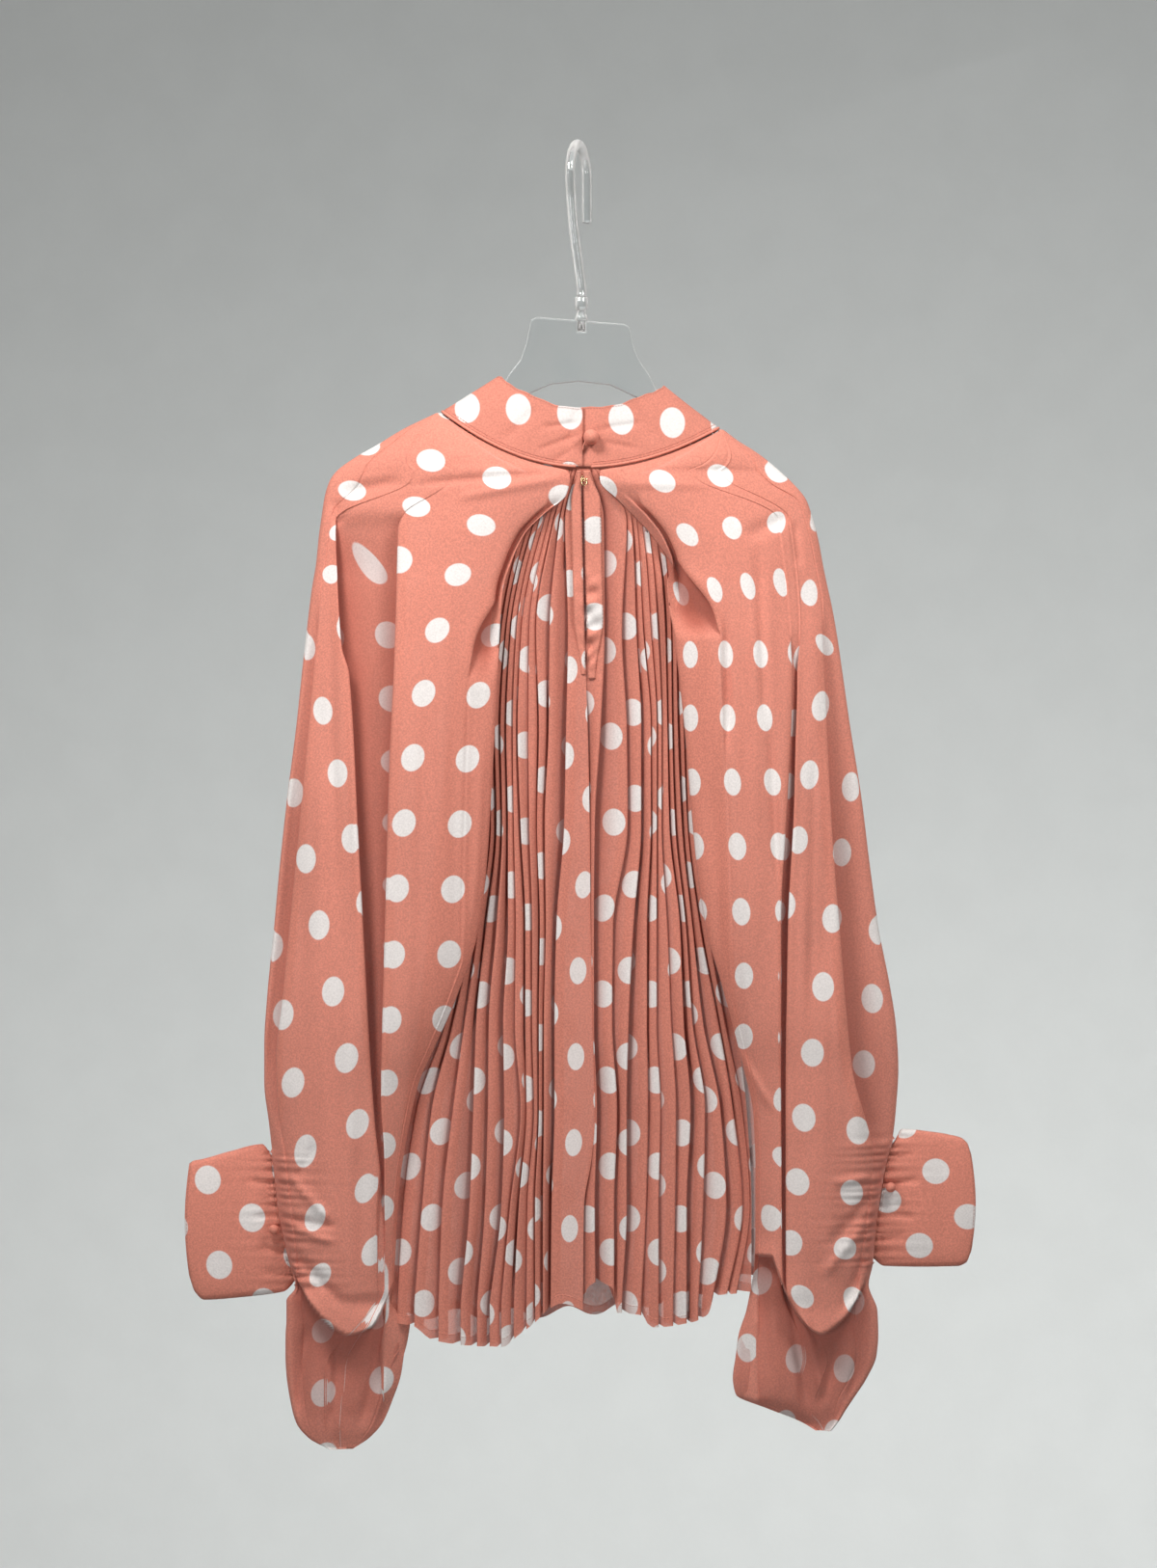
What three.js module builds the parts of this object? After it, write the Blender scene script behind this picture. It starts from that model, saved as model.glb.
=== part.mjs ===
// Polka dot blouse with full raglan sleeves and a pleated back, hanging on a clear hanger.
// Millimetres, +Z up, +X to the wearer's right hand as seen from behind, +Y towards the front.
// The origin is the top of the hook's inside, where it bears on a rail.
import * as THREE from 'three';

// Driving dimensions
const CLOTH = 1.5;            // wall of the cloth
const SEAM_GAP = 0.5;         // between two pieces sewn together
const LAP = CLOTH + SEAM_GAP; // from the middle of one wall to the middle of the wall on it
const CUFF_HALF = 5.5;        // half depth of a cuff near its seam
const CUFF_BOW = 3;           // how far a cuff's outer end bows out
const SLEEVE_EDGE = 5;        // half depth of the sleeve's outer edge
const EDGE_INSET = 1.5;       // from the sleeve's outer edge to the start of its faces
const BULGE_POWER = 0.6;      // below 1 fills a sleeve's section towards its edges
const FOLD_TURN = { x: 0.55, y: 0.5 }; // share of the way from a seam to the inner fold
const SEAM_BESIDE_BODY = 3.5; // underarm seam outside the side seam
const SEAM_BEHIND_FOLD = 6;   // underarm seam outside the sleeve's inner fold
const SEAM_OVER_BODY = -9;    // depth of the underarm seam where the sleeve lies over the body
const UNDERARM_Z = -381;
const NECK_EDGE_Z = -234.5;   // lowest point of the sleeves' neck edge
const NECK_CLEAR = 2;         // sleeve's edge below the collar's edge
const NECK_PROUD = 0.6;       // sleeve's neck edge outside the collar's edge
const NECK_SHARES = { least: 0.006, most: 0.985 }; // of the collar's half, at the two ends
const FRONT_SEAM_CLEAR = 1;   // sleeve's seam in front of the front panel's edge
const FRONT_NECK_SHARE = 0.37; // half of the front panel's neck edge, as a share of the neck's half
const CENTRE_X = 4;           // centre back line
const CENTRE_GAP = 2.2;       // between the middles of the two back panels' edges
const PLEATS = 12;            // pleats in each back panel
const PLEAT_DEPTH = 4.4;
const PLEAT_STEP = 0.28;      // share of a pleat's pitch that its step takes
const SLIT_Z = -385;          // lower end of the placket
const STRIP_WIDTH = 13;       // placket strip
const STRIP_INSET = 0.3;      // from a back panel's edge to its strip
const STRIP_MARGIN = 4.5;     // flat cloth beside a strip
const HOOK_INSIDE = 20;       // radius that clears a 25 mm rail
const HOOK_WIRE = 3.5;        // radius of the hook's rod
const HOOK_TURN = THREE.MathUtils.degToRad(15);
const HOOK_TIP_Z = -51;
const PLATE_HALF = 5;         // half thickness of the hanger's plate
const PLATE_TOP = { x: 2.1, z: -124.6 };

// Colours
const CORAL = 0xd98a78;
const CLEAR = 0xdfe6e6;
const GOLD = 0xc9a86a;

// Left sleeve, a row for each height: outline, inner fold, bulge towards the back and the front
const LEFT_SLEEVE = [
  { z: -192, outer: -104, inner: -97, innerY: -4, back: 2, front: 2 },
  { z: -203, outer: -127, inner: -83.5, innerY: -14, back: 4, front: 4 },
  { z: -215, outer: -147, inner: -64.5, innerY: -20, back: 5, front: 5 },
  { z: -225, outer: -164, inner: -43, innerY: -23.5, back: 6, front: 6 },
  { z: -234, outer: -175.5, inner: -8, innerY: -26.6, back: 6, front: 6 },
  { z: -241, outer: -181, inner: -6, innerY: -28, back: 6, front: 7 },
  { z: -252, outer: -184, inner: -9, innerY: -28, back: 6, front: 9 },
  { z: -265, outer: -186, inner: -25, innerY: -27, back: 7, front: 11 },
  { z: -280, outer: -188, inner: -39, innerY: -26, back: 8, front: 13 },
  { z: -300, outer: -190.5, inner: -50, innerY: -25, back: 9, front: 16 },
  { z: -321, outer: -194, inner: -57, innerY: -24, back: 11, front: 18 },
  { z: -350, outer: -197.5, inner: -59, innerY: -23, back: 13, front: 20 },
  { z: -367, outer: -199.5, inner: -58.5, innerY: -22.5, back: 14, front: 22 },
  { z: -381, outer: -201, inner: -58, innerY: -22, back: 15, front: 23 },
  { z: -420, outer: -205, inner: -60, innerY: -21, back: 17, front: 25 },
  { z: -470, outer: -211, inner: -63, innerY: -20, back: 19, front: 27 },
  { z: -521, outer: -217, inner: -66.5, innerY: -19, back: 20, front: 29 },
  { z: -566, outer: -221, inner: -73, innerY: -18, back: 21, front: 30 },
  { z: -615, outer: -226, inner: -89, innerY: -17, back: 22, front: 30 },
  { z: -651, outer: -228, inner: -104, innerY: -15, back: 23, front: 30 },
  { z: -677, outer: -228, inner: -115.5, innerY: -13, back: 23, front: 29 },
  { z: -707, outer: -225, inner: -127, innerY: -9, back: 23, front: 28 },
  { z: -726, outer: -222.5, inner: -133, innerY: -6, back: 23, front: 27 },
  { z: -745, outer: -220.5, inner: -136, innerY: -4, back: 23, front: 26 },
  { z: -767, outer: -218.5, inner: -139, innerY: -3, back: 23, front: 26 },
  { z: -795, outer: -213, inner: -138.5, innerY: -2, back: 23, front: 25 },
  { z: -826, outer: -205, inner: -139, innerY: 0, back: 22, front: 24 },
  { z: -836, outer: -212, inner: -139, innerY: 0, back: 22, front: 24 },
  { z: -850, outer: -212, inner: -139, innerY: 0, back: 21, front: 23 },
  { z: -862, outer: -212.5, inner: -133, innerY: 0, back: 19, front: 21 },
  { z: -875, outer: -213, inner: -127, innerY: 0, back: 18, front: 19 },
  { z: -889, outer: -212, inner: -129, innerY: 0, back: 16, front: 17 },
  { z: -908, outer: -209, inner: -135, innerY: 0, back: 13, front: 14 },
  { z: -924, outer: -205, inner: -142, innerY: 0, back: 9, front: 10 },
  { z: -935, outer: -196, inner: -152, innerY: 0, back: 5, front: 5 },
  { z: -943, outer: -182, inner: -164, innerY: -2, back: 0.5, front: 0.5 },
];

// Right sleeve, the same columns
const RIGHT_SLEEVE = [
  { z: -204, outer: 106, inner: 98, innerY: -4, back: 2, front: 2 },
  { z: -212, outer: 117, inner: 83.5, innerY: -14, back: 4, front: 4 },
  { z: -218, outer: 126, inner: 70, innerY: -18.5, back: 5, front: 5 },
  { z: -225, outer: 136, inner: 52, innerY: -22, back: 6, front: 6 },
  { z: -234, outer: 146, inner: 15, innerY: -26.4, back: 6, front: 6 },
  { z: -242, outer: 155.5, inner: 19, innerY: -28, back: 6, front: 7 },
  { z: -254, outer: 165.5, inner: 36, innerY: -28, back: 6, front: 9 },
  { z: -268, outer: 170.5, inner: 50, innerY: -27, back: 7, front: 11 },
  { z: -284, outer: 174.5, inner: 59, innerY: -26, back: 8, front: 13 },
  { z: -303, outer: 178, inner: 68, innerY: -25, back: 9, front: 16 },
  { z: -325, outer: 182.5, inner: 74, innerY: -24, back: 11, front: 18 },
  { z: -352, outer: 187.5, inner: 71, innerY: -23, back: 13, front: 20 },
  { z: -367, outer: 190, inner: 71.5, innerY: -22.5, back: 14, front: 22 },
  { z: -381, outer: 192, inner: 72, innerY: -22, back: 15, front: 23 },
  { z: -420, outer: 197.5, inner: 76, innerY: -21, back: 17, front: 25 },
  { z: -470, outer: 205, inner: 80, innerY: -20, back: 19, front: 27 },
  { z: -521, outer: 211.5, inner: 85.5, innerY: -19, back: 20, front: 29 },
  { z: -566, outer: 218, inner: 92.5, innerY: -18, back: 21, front: 30 },
  { z: -606, outer: 225.5, inner: 103.5, innerY: -17, back: 22, front: 30 },
  { z: -640, outer: 230, inner: 113, innerY: -15, back: 23, front: 30 },
  { z: -668, outer: 231.5, inner: 122, innerY: -12, back: 23, front: 29 },
  { z: -695, outer: 230, inner: 130, innerY: -8, back: 23, front: 28 },
  { z: -716, outer: 228.5, inner: 132.5, innerY: -6, back: 23, front: 27 },
  { z: -736, outer: 223.5, inner: 133.5, innerY: -5, back: 23, front: 26 },
  { z: -759, outer: 219.5, inner: 133.5, innerY: -4, back: 23, front: 26 },
  { z: -784, outer: 215.5, inner: 133.5, innerY: -3, back: 23, front: 25 },
  { z: -810, outer: 213.5, inner: 133, innerY: -2, back: 22, front: 24 },
  { z: -824, outer: 210.5, inner: 131, innerY: 0, back: 22, front: 24 },
  { z: -843, outer: 217.5, inner: 122, innerY: 0, back: 21, front: 22 },
  { z: -860, outer: 218, inner: 116, innerY: 0, back: 19, front: 20 },
  { z: -876, outer: 216, inner: 114, innerY: 0, back: 17, front: 18 },
  { z: -892, outer: 209.5, inner: 112, innerY: 0, back: 14, front: 15 },
  { z: -904, outer: 201.5, inner: 114, innerY: 0, back: 11, front: 12 },
  { z: -914, outer: 195, inner: 138, innerY: 0, back: 8, front: 8 },
  { z: -923, outer: 189, inner: 161, innerY: 0, back: 4, front: 4 },
  { z: -930, outer: 184, inner: 172, innerY: -2, back: 0.5, front: 0.5 },
];

// Edges of the back and front panels: raglan seams down to the underarm, then the side seams
const BODY_EDGES = [
  { z: -234, backLeft: -7, backRight: 15, frontLeft: -38, frontRight: 40, y: -24, frontY: 22 },
  { z: -242, backLeft: -8, backRight: 15.5, frontLeft: -40, frontRight: 42, y: -23, frontY: 22 },
  { z: -256, backLeft: -22, backRight: 29, frontLeft: -44, frontRight: 48, y: -21, frontY: 21 },
  { z: -280, backLeft: -43, backRight: 52, frontLeft: -54, frontRight: 60, y: -17.5, frontY: 19 },
  { z: -312, backLeft: -62, backRight: 74, frontLeft: -67, frontRight: 76, y: -13, frontY: 15 },
  { z: -346, backLeft: -77, backRight: 90, frontLeft: -79, frontRight: 91, y: -10, frontY: 9 },
  { z: -368, backLeft: -84, backRight: 96.5, frontLeft: -85, frontRight: 97, y: -7, frontY: 3.5 },
  { z: -381, backLeft: -88, backRight: 99.5, frontLeft: -88, frontRight: 99.5, y: -3, frontY: -1 },
  { z: -424, backLeft: -94, backRight: 104, frontLeft: -94, frontRight: 104, y: -3, frontY: -1 },
  { z: -487, backLeft: -101.5, backRight: 107, frontLeft: -101.5, frontRight: 107, y: -3, frontY: -1 },
  { z: -557, backLeft: -108, backRight: 110, frontLeft: -108, frontRight: 110, y: -3, frontY: -1 },
  { z: -627, backLeft: -115, backRight: 114, frontLeft: -115, frontRight: 114, y: -3, frontY: -1 },
  { z: -697, backLeft: -123, backRight: 119, frontLeft: -123, frontRight: 119, y: -3, frontY: -1 },
  { z: -767, backLeft: -130, backRight: 123, frontLeft: -130, frontRight: 123, y: -3, frontY: -1 },
  { z: -870, backLeft: -136, backRight: 124, frontLeft: -136, frontRight: 124, y: -3, frontY: -1 },
];

// Middle of each panel in depth, and the pitch of the pleats
const BODY_DEPTHS = [
  { z: -234, back: -24, front: 24, pitch: 6.6 },
  { z: -280, back: -17.5, front: 21, pitch: 7.0 },
  { z: -340, back: -12, front: 17, pitch: 7.6 },
  { z: -381, back: -9, front: 15, pitch: 8.1 },
  { z: -500, back: -8, front: 14, pitch: 9.1 },
  { z: -650, back: -7.5, front: 14, pitch: 10.2 },
  { z: -870, back: -7, front: 15, pitch: 11.7 },
];

// Hem of the pleated back, which steps from bunch to bunch
const BACK_HEM = [
  { x: -136, z: -851 },
  { x: -120, z: -853 },
  { x: -106, z: -863 },
  { x: -80, z: -867 },
  { x: -55, z: -868 },
  { x: -43, z: -859 },
  { x: -31, z: -850 },
  { x: -22, z: -841 },
  { x: -10, z: -836 },
  { x: 3, z: -842 },
  { x: 5, z: -828 },
  { x: 14, z: -821 },
  { x: 25, z: -826 },
  { x: 27, z: -843 },
  { x: 45, z: -845 },
  { x: 53, z: -854 },
  { x: 79, z: -851 },
  { x: 95, z: -843 },
  { x: 97, z: -831 },
  { x: 124, z: -829 },
];

const FRONT_HEM = { left: -845, right: -813 };

// Largest folds of the sleeves' back: a trough's centre, half width and depth at each height
const LEFT_FOLD = [
  { z: -255, x: -158, half: 18, depth: 0 },
  { z: -300, x: -154, half: 22, depth: 7 },
  { z: -390, x: -150, half: 18, depth: 8 },
  { z: -500, x: -148, half: 14, depth: 8 },
  { z: -620, x: -146, half: 12, depth: 8 },
  { z: -690, x: -147, half: 12, depth: 6 },
  { z: -760, x: -150, half: 14, depth: 2 },
];
const RIGHT_FOLD = [
  { z: -270, x: 150, half: 14, depth: 0 },
  { z: -330, x: 158, half: 12, depth: 4 },
  { z: -400, x: 156, half: 10, depth: 8 },
  { z: -500, x: 150, half: 9, depth: 9 },
  { z: -620, x: 147, half: 9, depth: 9 },
  { z: -720, x: 148, half: 9, depth: 9 },
  { z: -820, x: 148, half: 12, depth: 7 },
  { z: -890, x: 152, half: 14, depth: 3 },
];

// Swags of cloth that drop from each cuff seam, and the gathers on the seam
const LEFT_SWAG = { x: -158, z: -866, rise: 0.0125, half: 11, depth: 7, from: -800 };
const RIGHT_SWAG = { x: 168, z: -852, rise: 0.0145, half: 11, depth: 7, from: -780 };
const GATHER_ROWS = 12;
const GATHER_DEPTH = 2.2;
const GATHER_REACH = 0.62;    // share of the back that the gathers run across
const GATHER_ROOM = 4;        // plain cloth above and below the gathers

const LEFT_CUFF = {
  seam: [
    { z: -728, x: -222.5 },
    { z: -745, x: -220.5 },
    { z: -767, x: -218.5 },
    { z: -795, x: -213 },
    { z: -824, x: -205 },
  ],
  length: [
    { s: 0, top: -731, bottom: -821, half: 5 },
    { s: 0.12, top: -722, bottom: -829, half: CUFF_HALF },
    { s: 0.5, top: -727, bottom: -833, half: 6 },
    { s: 0.86, top: -733, bottom: -835, half: CUFF_HALF },
    { s: 0.95, top: -734, bottom: -829, half: 5 },
    { s: 1, top: -736, bottom: -818, half: 4.5 },
  ],
  end: -282.5,
};
const RIGHT_CUFF = {
  seam: [
    { z: -718, x: 228.2 },
    { z: -736, x: 223.5 },
    { z: -759, x: 219.5 },
    { z: -784, x: 215.5 },
    { z: -808, x: 213.7 },
  ],
  length: [
    { s: 0, top: -723, bottom: -805, half: 5 },
    { s: 0.12, top: -711, bottom: -810.5, half: CUFF_HALF },
    { s: 0.5, top: -713, bottom: -811, half: 6 },
    { s: 0.86, top: -717, bottom: -810.5, half: CUFF_HALF },
    { s: 0.95, top: -721, bottom: -808, half: 5 },
    { s: 1, top: -729, bottom: -800, half: 4.5 },
  ],
  end: 285,
};

const COLLAR = {
  seamHalf: { left: 103.4, right: 98.2 },
  topHalf: { left: 62, right: 58.3 },
  seamZ: -232.4,
  seamRise: { left: 42, right: 30 },
  topZ: -189,
  topRise: { left: 24.5, right: 17 },
  seamDepth: 26,
  topDepth: 20,
  frontDrop: 7,
  lap: 2.3,
};

const BUTTON_SEAT = -21.7;     // face of the collar's right end at the button
const REST = 0.35;             // between a small piece and what it lies on
const NECK_BUTTON = { x: 9, z: -210.7, radius: 5.4 };
const NECK_LOOP = { radius: 4.8, thread: 0.7, y: -23.4 };
const NECK_HOOK = { radius: 2.2, wire: 0.5, y: -26.5, z: -243 };
const CUFF_BUTTONS = {
  left: { x: -220.5, z: -783, radius: 3.6 },
  right: { x: 226, z: -752.5, radius: 3.6 },
};

// Outline of the hanger's plate, seen from the back, without its notch
const PLATE_UPPER_LEFT = [
  [-50, -163], [-55, -172], [-75, -186], [-100, -198], [-122, -203.3], [-147, -217.9], [-163, -227.9],
];
const PLATE_LEFT_TIP = [[-171, -235], [-173.5, -244], [-166, -251]];
const PLATE_LOWER = [
  [-130, -238], [-100, -221], [-72, -203], [-48, -186], [-34, -176.5], [-20, -170.5], [0, -168.5],
  [23, -171], [42, -180], [66, -201], [95, -226], [125, -248],
];
const PLATE_RIGHT_TIP = [[149, -266], [158, -264], [161, -254]];
const PLATE_UPPER_RIGHT = [
  [154, -244.2], [135, -227.7], [116, -214.2], [100, -207.5], [77, -194], [58, -178], [51.5, -164.5],
];
const NOTCH = { half: 3.2, depth: 8 };

function lerp(a, b, t) {
  return a + (b - a) * t;
}

function smooth(t) {
  const u = Math.min(1, Math.max(0, t));
  return u * u * (3 - 2 * u);
}

// Value of one column of a table at a height or place, between its rows
function read(table, name, at, key = 'z') {
  const rising = table[1][key] > table[0][key];
  const ahead = table.findIndex((row) => (rising ? row[key] >= at : row[key] <= at));
  if (ahead === 0) return table[0][name];
  if (ahead < 0) return table[table.length - 1][name];
  const a = table[ahead - 1];
  const b = table[ahead];
  return lerp(a[name], b[name], (at - a[key]) / (b[key] - a[key]));
}

function mesh(name, geometry, colour, roughness, metalness = 0) {
  const material = new THREE.MeshStandardMaterial({ color: colour, roughness, metalness });
  const result = new THREE.Mesh(geometry, material);
  result.name = name;
  return result;
}

// A sheet of points joined into quads
class Sheet {
  constructor() {
    this.points = [];
    this.known = new Map();
    this.triangles = [];
  }

  vertex(point) {
    const key = point.map((value) => value.toFixed(3)).join(' ');
    if (!this.known.has(key)) {
      this.known.set(key, this.points.length);
      this.points.push(new THREE.Vector3(...point));
    }
    return this.known.get(key);
  }

  quad(a, b, c, d) {
    const ids = [a, b, c, d].map((point) => this.vertex(point));
    this.triangle(ids[0], ids[1], ids[2]);
    this.triangle(ids[0], ids[2], ids[3]);
  }

  triangle(a, b, c) {
    if (a !== b && b !== c && c !== a) this.triangles.push([a, b, c]);
  }

  grid(rows, isOpen = () => false) {
    for (let j = 0; j + 1 < rows.length; j += 1) {
      for (let i = 0; i + 1 < rows[j].length; i += 1) {
        if (isOpen(j, i)) continue;
        this.quad(rows[j][i], rows[j][i + 1], rows[j + 1][i + 1], rows[j + 1][i]);
      }
    }
  }

  // Joins the two halves of a ring across its middle
  close(ring) {
    const last = ring.length - 1;
    for (let i = 0; i < last / 2; i += 1) {
      this.quad(ring[i], ring[i + 1], ring[last - i - 1], ring[last - i]);
    }
  }

  normals() {
    const sums = this.points.map(() => new THREE.Vector3());
    for (const [a, b, c] of this.triangles) {
      const side = this.points[b].clone().sub(this.points[a]);
      const face = side.cross(this.points[c].clone().sub(this.points[a]));
      [a, b, c].forEach((id) => sums[id].add(face));
    }
    return sums.map((sum) => sum.normalize());
  }

  // The sheet with its thickness, half on each side
  wall(thickness = CLOTH) {
    const normals = this.normals();
    const outer = this.points.map((p, i) => p.clone().addScaledVector(normals[i], thickness / 2));
    const inner = this.points.map((p, i) => p.clone().addScaledVector(normals[i], -thickness / 2));
    const count = outer.length;
    const faces = [];
    const edges = new Set();
    for (const [a, b, c] of this.triangles) {
      faces.push([a, b, c], [a + count, c + count, b + count]);
      edges.add(`${a} ${b}`).add(`${b} ${c}`).add(`${c} ${a}`);
    }
    for (const edge of edges) {
      const [a, b] = edge.split(' ').map(Number);
      if (edges.has(`${b} ${a}`)) continue;
      faces.push([b, a, a + count], [b, a + count, b + count]);
    }
    return closedGeometry([...outer, ...inner], faces);
  }
}

function closedGeometry(points, faces) {
  let volume = 0;
  for (const [a, b, c] of faces) {
    volume += points[a].dot(points[b].clone().cross(points[c]));
  }
  const positions = [];
  for (const [a, b, c] of faces) {
    const corners = volume > 0 ? [a, b, c] : [a, c, b];
    corners.forEach((id) => positions.push(...points[id].toArray()));
  }
  const geometry = new THREE.BufferGeometry();
  geometry.setAttribute('position', new THREE.Float32BufferAttribute(positions, 3));
  geometry.computeVertexNormals();
  return geometry;
}

// Depth of a soft trough across a fold
function trough(fold, x, z) {
  const off = (x - read(fold, 'x', z)) / read(fold, 'half', z);
  return read(fold, 'depth', z) * Math.exp(-off * off);
}

function swagTrough(swag, x, z) {
  if (z > swag.from) return 0;
  const line = swag.z + swag.rise * (x - swag.x) ** 2;
  const off = (z - line) / swag.half;
  return swag.depth * Math.exp(-off * off);
}

// Raglan or underarm seam of the sleeve's back layer, and of its front layer
function sleeveSeams(side, z, inner) {
  const back = read(BODY_EDGES, side < 0 ? 'backLeft' : 'backRight', z);
  const front = read(BODY_EDGES, side < 0 ? 'frontLeft' : 'frontRight', z);
  if (z > UNDERARM_Z) {
    if (z > NECK_EDGE_Z) return { start: neckEdge(side, z, -1), end: neckEdge(side, z, 1) };
    const overStrip = 1 + smooth((z + 275) / 20);
    const start = [back, read(BODY_EDGES, 'y', z) - LAP * overStrip];
    return { start, end: [front, read(BODY_EDGES, 'frontY', z) + LAP + FRONT_SEAM_CLEAR] };
  }
  const beside = Math.max(Math.abs(back) + SEAM_BESIDE_BODY, Math.abs(inner) + SEAM_BEHIND_FOLD);
  const overBody = smooth((Math.abs(back) + SEAM_BESIDE_BODY - Math.abs(inner)) / 10);
  const seam = [side * beside, lerp(2, SEAM_OVER_BODY, overBody)];
  return { start: seam, end: seam };
}

// Where a sleeve meets the collar's seam at a height, at the back (facing -1) or the front (1)
function neckEdge(side, z, facing) {
  const word = side < 0 ? 'left' : 'right';
  const drop = facing > 0 ? COLLAR.frontDrop : 0;
  const lowest = COLLAR.seamZ - drop - NECK_CLEAR;
  const climbed = (z - lowest) / (COLLAR.seamRise[word] + drop);
  const least = facing > 0 ? FRONT_NECK_SHARE ** 2 : NECK_SHARES.least;
  const share = Math.sqrt(Math.min(NECK_SHARES.most, Math.max(least, climbed)));
  const y = facing * (COLLAR.seamDepth + NECK_PROUD) * Math.sqrt(1 - share * share);
  return [CENTRE_X + side * COLLAR.seamHalf[word] * share, y];
}

const BACK_SHARES = [0.06, 0.16, 0.27, 0.38, 0.49, 0.6, 0.71, 0.82, 0.92, 1];
const FRONT_SHARES = [0, 0.12, 0.26, 0.4, 0.55, 0.7, 0.85];

function gather(row, share) {
  const reach = smooth((share - 1 + GATHER_REACH) / GATHER_REACH);
  return (row % 2 ? -1 : 1) * GATHER_DEPTH * reach;
}

function sleeveRing(side, row, index, fold, swag, gathered) {
  const { z, outer } = row;
  const edge = outer - side * EDGE_INSET;
  const { start, end } = sleeveSeams(side, z, row.inner);
  const [inner, innerY] = z > NECK_EDGE_Z ? start : [row.inner, row.innerY];
  const ring = [[start[0], start[1], z]];
  ring.push([lerp(start[0], inner, FOLD_TURN.x), lerp(start[1], innerY, FOLD_TURN.y), z]);
  ring.push([inner, innerY, z]);
  for (const share of BACK_SHARES) {
    const x = lerp(inner, edge, share);
    const bulge = row.back * Math.sin(Math.PI * Math.min(share, 0.985)) ** BULGE_POWER;
    const folds = trough(fold, x, z) + swagTrough(swag, x, z);
    const room = Math.min(1, 6 * (1 - share)) * Math.min(1, 5 * share);
    const waves = gathered && share < 1 ? gather(index, share) : 0;
    ring.push([x, lerp(innerY, -SLEEVE_EDGE, share ** 2) - bulge + folds * room + waves, z]);
  }
  ring.push([outer, 0, z]);
  for (const share of FRONT_SHARES) {
    const x = lerp(edge, end[0], share);
    const bulge = row.front * Math.sin(Math.PI * Math.max(share, 0.01)) ** BULGE_POWER;
    const folds = trough(fold, x + side * 12, z) * 0.7;
    const room = Math.min(1, 5 * share) * Math.min(1, 4 * (1 - share));
    const waves = gathered && share > 0 ? gather(index, 1 - share) : 0;
    ring.push([x, lerp(SLEEVE_EDGE, end[1], share ** 2) + bulge - folds * room - waves, z]);
  }
  ring.push([end[0], end[1], z]);
  return ring;
}

// Heights of the sleeve's rows, closer together where the cuff gathers it
function sleeveHeights(table, cuff) {
  const top = cuff.seam[0].z;
  const bottom = cuff.seam[cuff.seam.length - 1].z;
  const tableHeights = table.map((row) => row.z);
  const collarHeights = tableHeights.slice(0, 4).map((z, i) => (z + tableHeights[i + 1]) / 2);
  const above = [...tableHeights, ...collarHeights].filter((z) => z > top + GATHER_ROOM);
  above.sort((a, b) => b - a);
  const below = tableHeights.filter((z) => z < bottom - GATHER_ROOM);
  const along = Array.from({ length: GATHER_ROWS + 1 }, (_, i) => lerp(top, bottom, i / GATHER_ROWS));
  return { heights: [...above, ...along, ...below], first: above.length };
}

function rowAt(table, z) {
  const row = { z };
  for (const name of ['outer', 'inner', 'innerY', 'back', 'front']) {
    row[name] = read(table, name, z);
  }
  return row;
}

function sleeve(name, side, table, fold, swag, cuff) {
  const { heights, first } = sleeveHeights(table, cuff);
  const last = first + GATHER_ROWS;
  const rings = heights.map((z, index) => {
    const gathered = index >= first - 1 && index <= last + 1;
    const row = rowAt(table, z);
    if (index >= first && index <= last) row.outer = read(cuff.seam, 'x', z) + side * EDGE_INSET;
    return sleeveRing(side, row, index, fold, swag, gathered);
  });
  const outerColumn = 2 + BACK_SHARES.length + 1;
  const sheet = new Sheet();
  sheet.grid(rings, (j, i) => {
    const atCuff = j >= first && j < last;
    return atCuff && (i === outerColumn - 1 || i === outerColumn);
  });
  sheet.close(rings[rings.length - 1]);
  return mesh(name, sheet.wall(), CORAL, 0.75);
}

// Wide flat tube that carries on outwards from the sleeve's gathered seam
function cuff(name, side, sizes) {
  const faces = [0.04, 0.14, 0.32, 0.5, 0.68, 0.86, 0.96];
  const rows = sizes.length.map(({ s, top, bottom, half }) => {
    const ring = [];
    const point = (share, depth) => {
      const z = lerp(top, bottom, share);
      const seam = read(sizes.seam, 'x', lerp(sizes.length[0].top, sizes.length[0].bottom, share));
      const bow = side * CUFF_BOW * Math.sin(Math.PI * share) * s;
      ring.push([lerp(seam + side * (SEAM_GAP + EDGE_INSET), sizes.end, s) + bow, depth, z]);
    };
    point(0, 0);
    faces.forEach((share) => point(share, -half * Math.sin(Math.PI * share) ** 0.35));
    point(1, 0);
    [...faces].reverse().forEach((share) => point(share, half * Math.sin(Math.PI * share) ** 0.35));
    point(0, 0);
    return ring;
  });
  const sheet = new Sheet();
  sheet.grid(rows);
  return mesh(name, sheet.wall(), CORAL, 0.72);
}

function bodyDepth(name, z) {
  return read(BODY_DEPTHS, name, z);
}

// How far a back panel lies from its mean depth at a place counted in pleats
function pleatWave(place) {
  const part = place - Math.floor(place);
  const wave = part < PLEAT_STEP ? part / PLEAT_STEP : (1 - part) / (1 - PLEAT_STEP);
  return PLEAT_DEPTH * (wave - 0.5);
}

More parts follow.
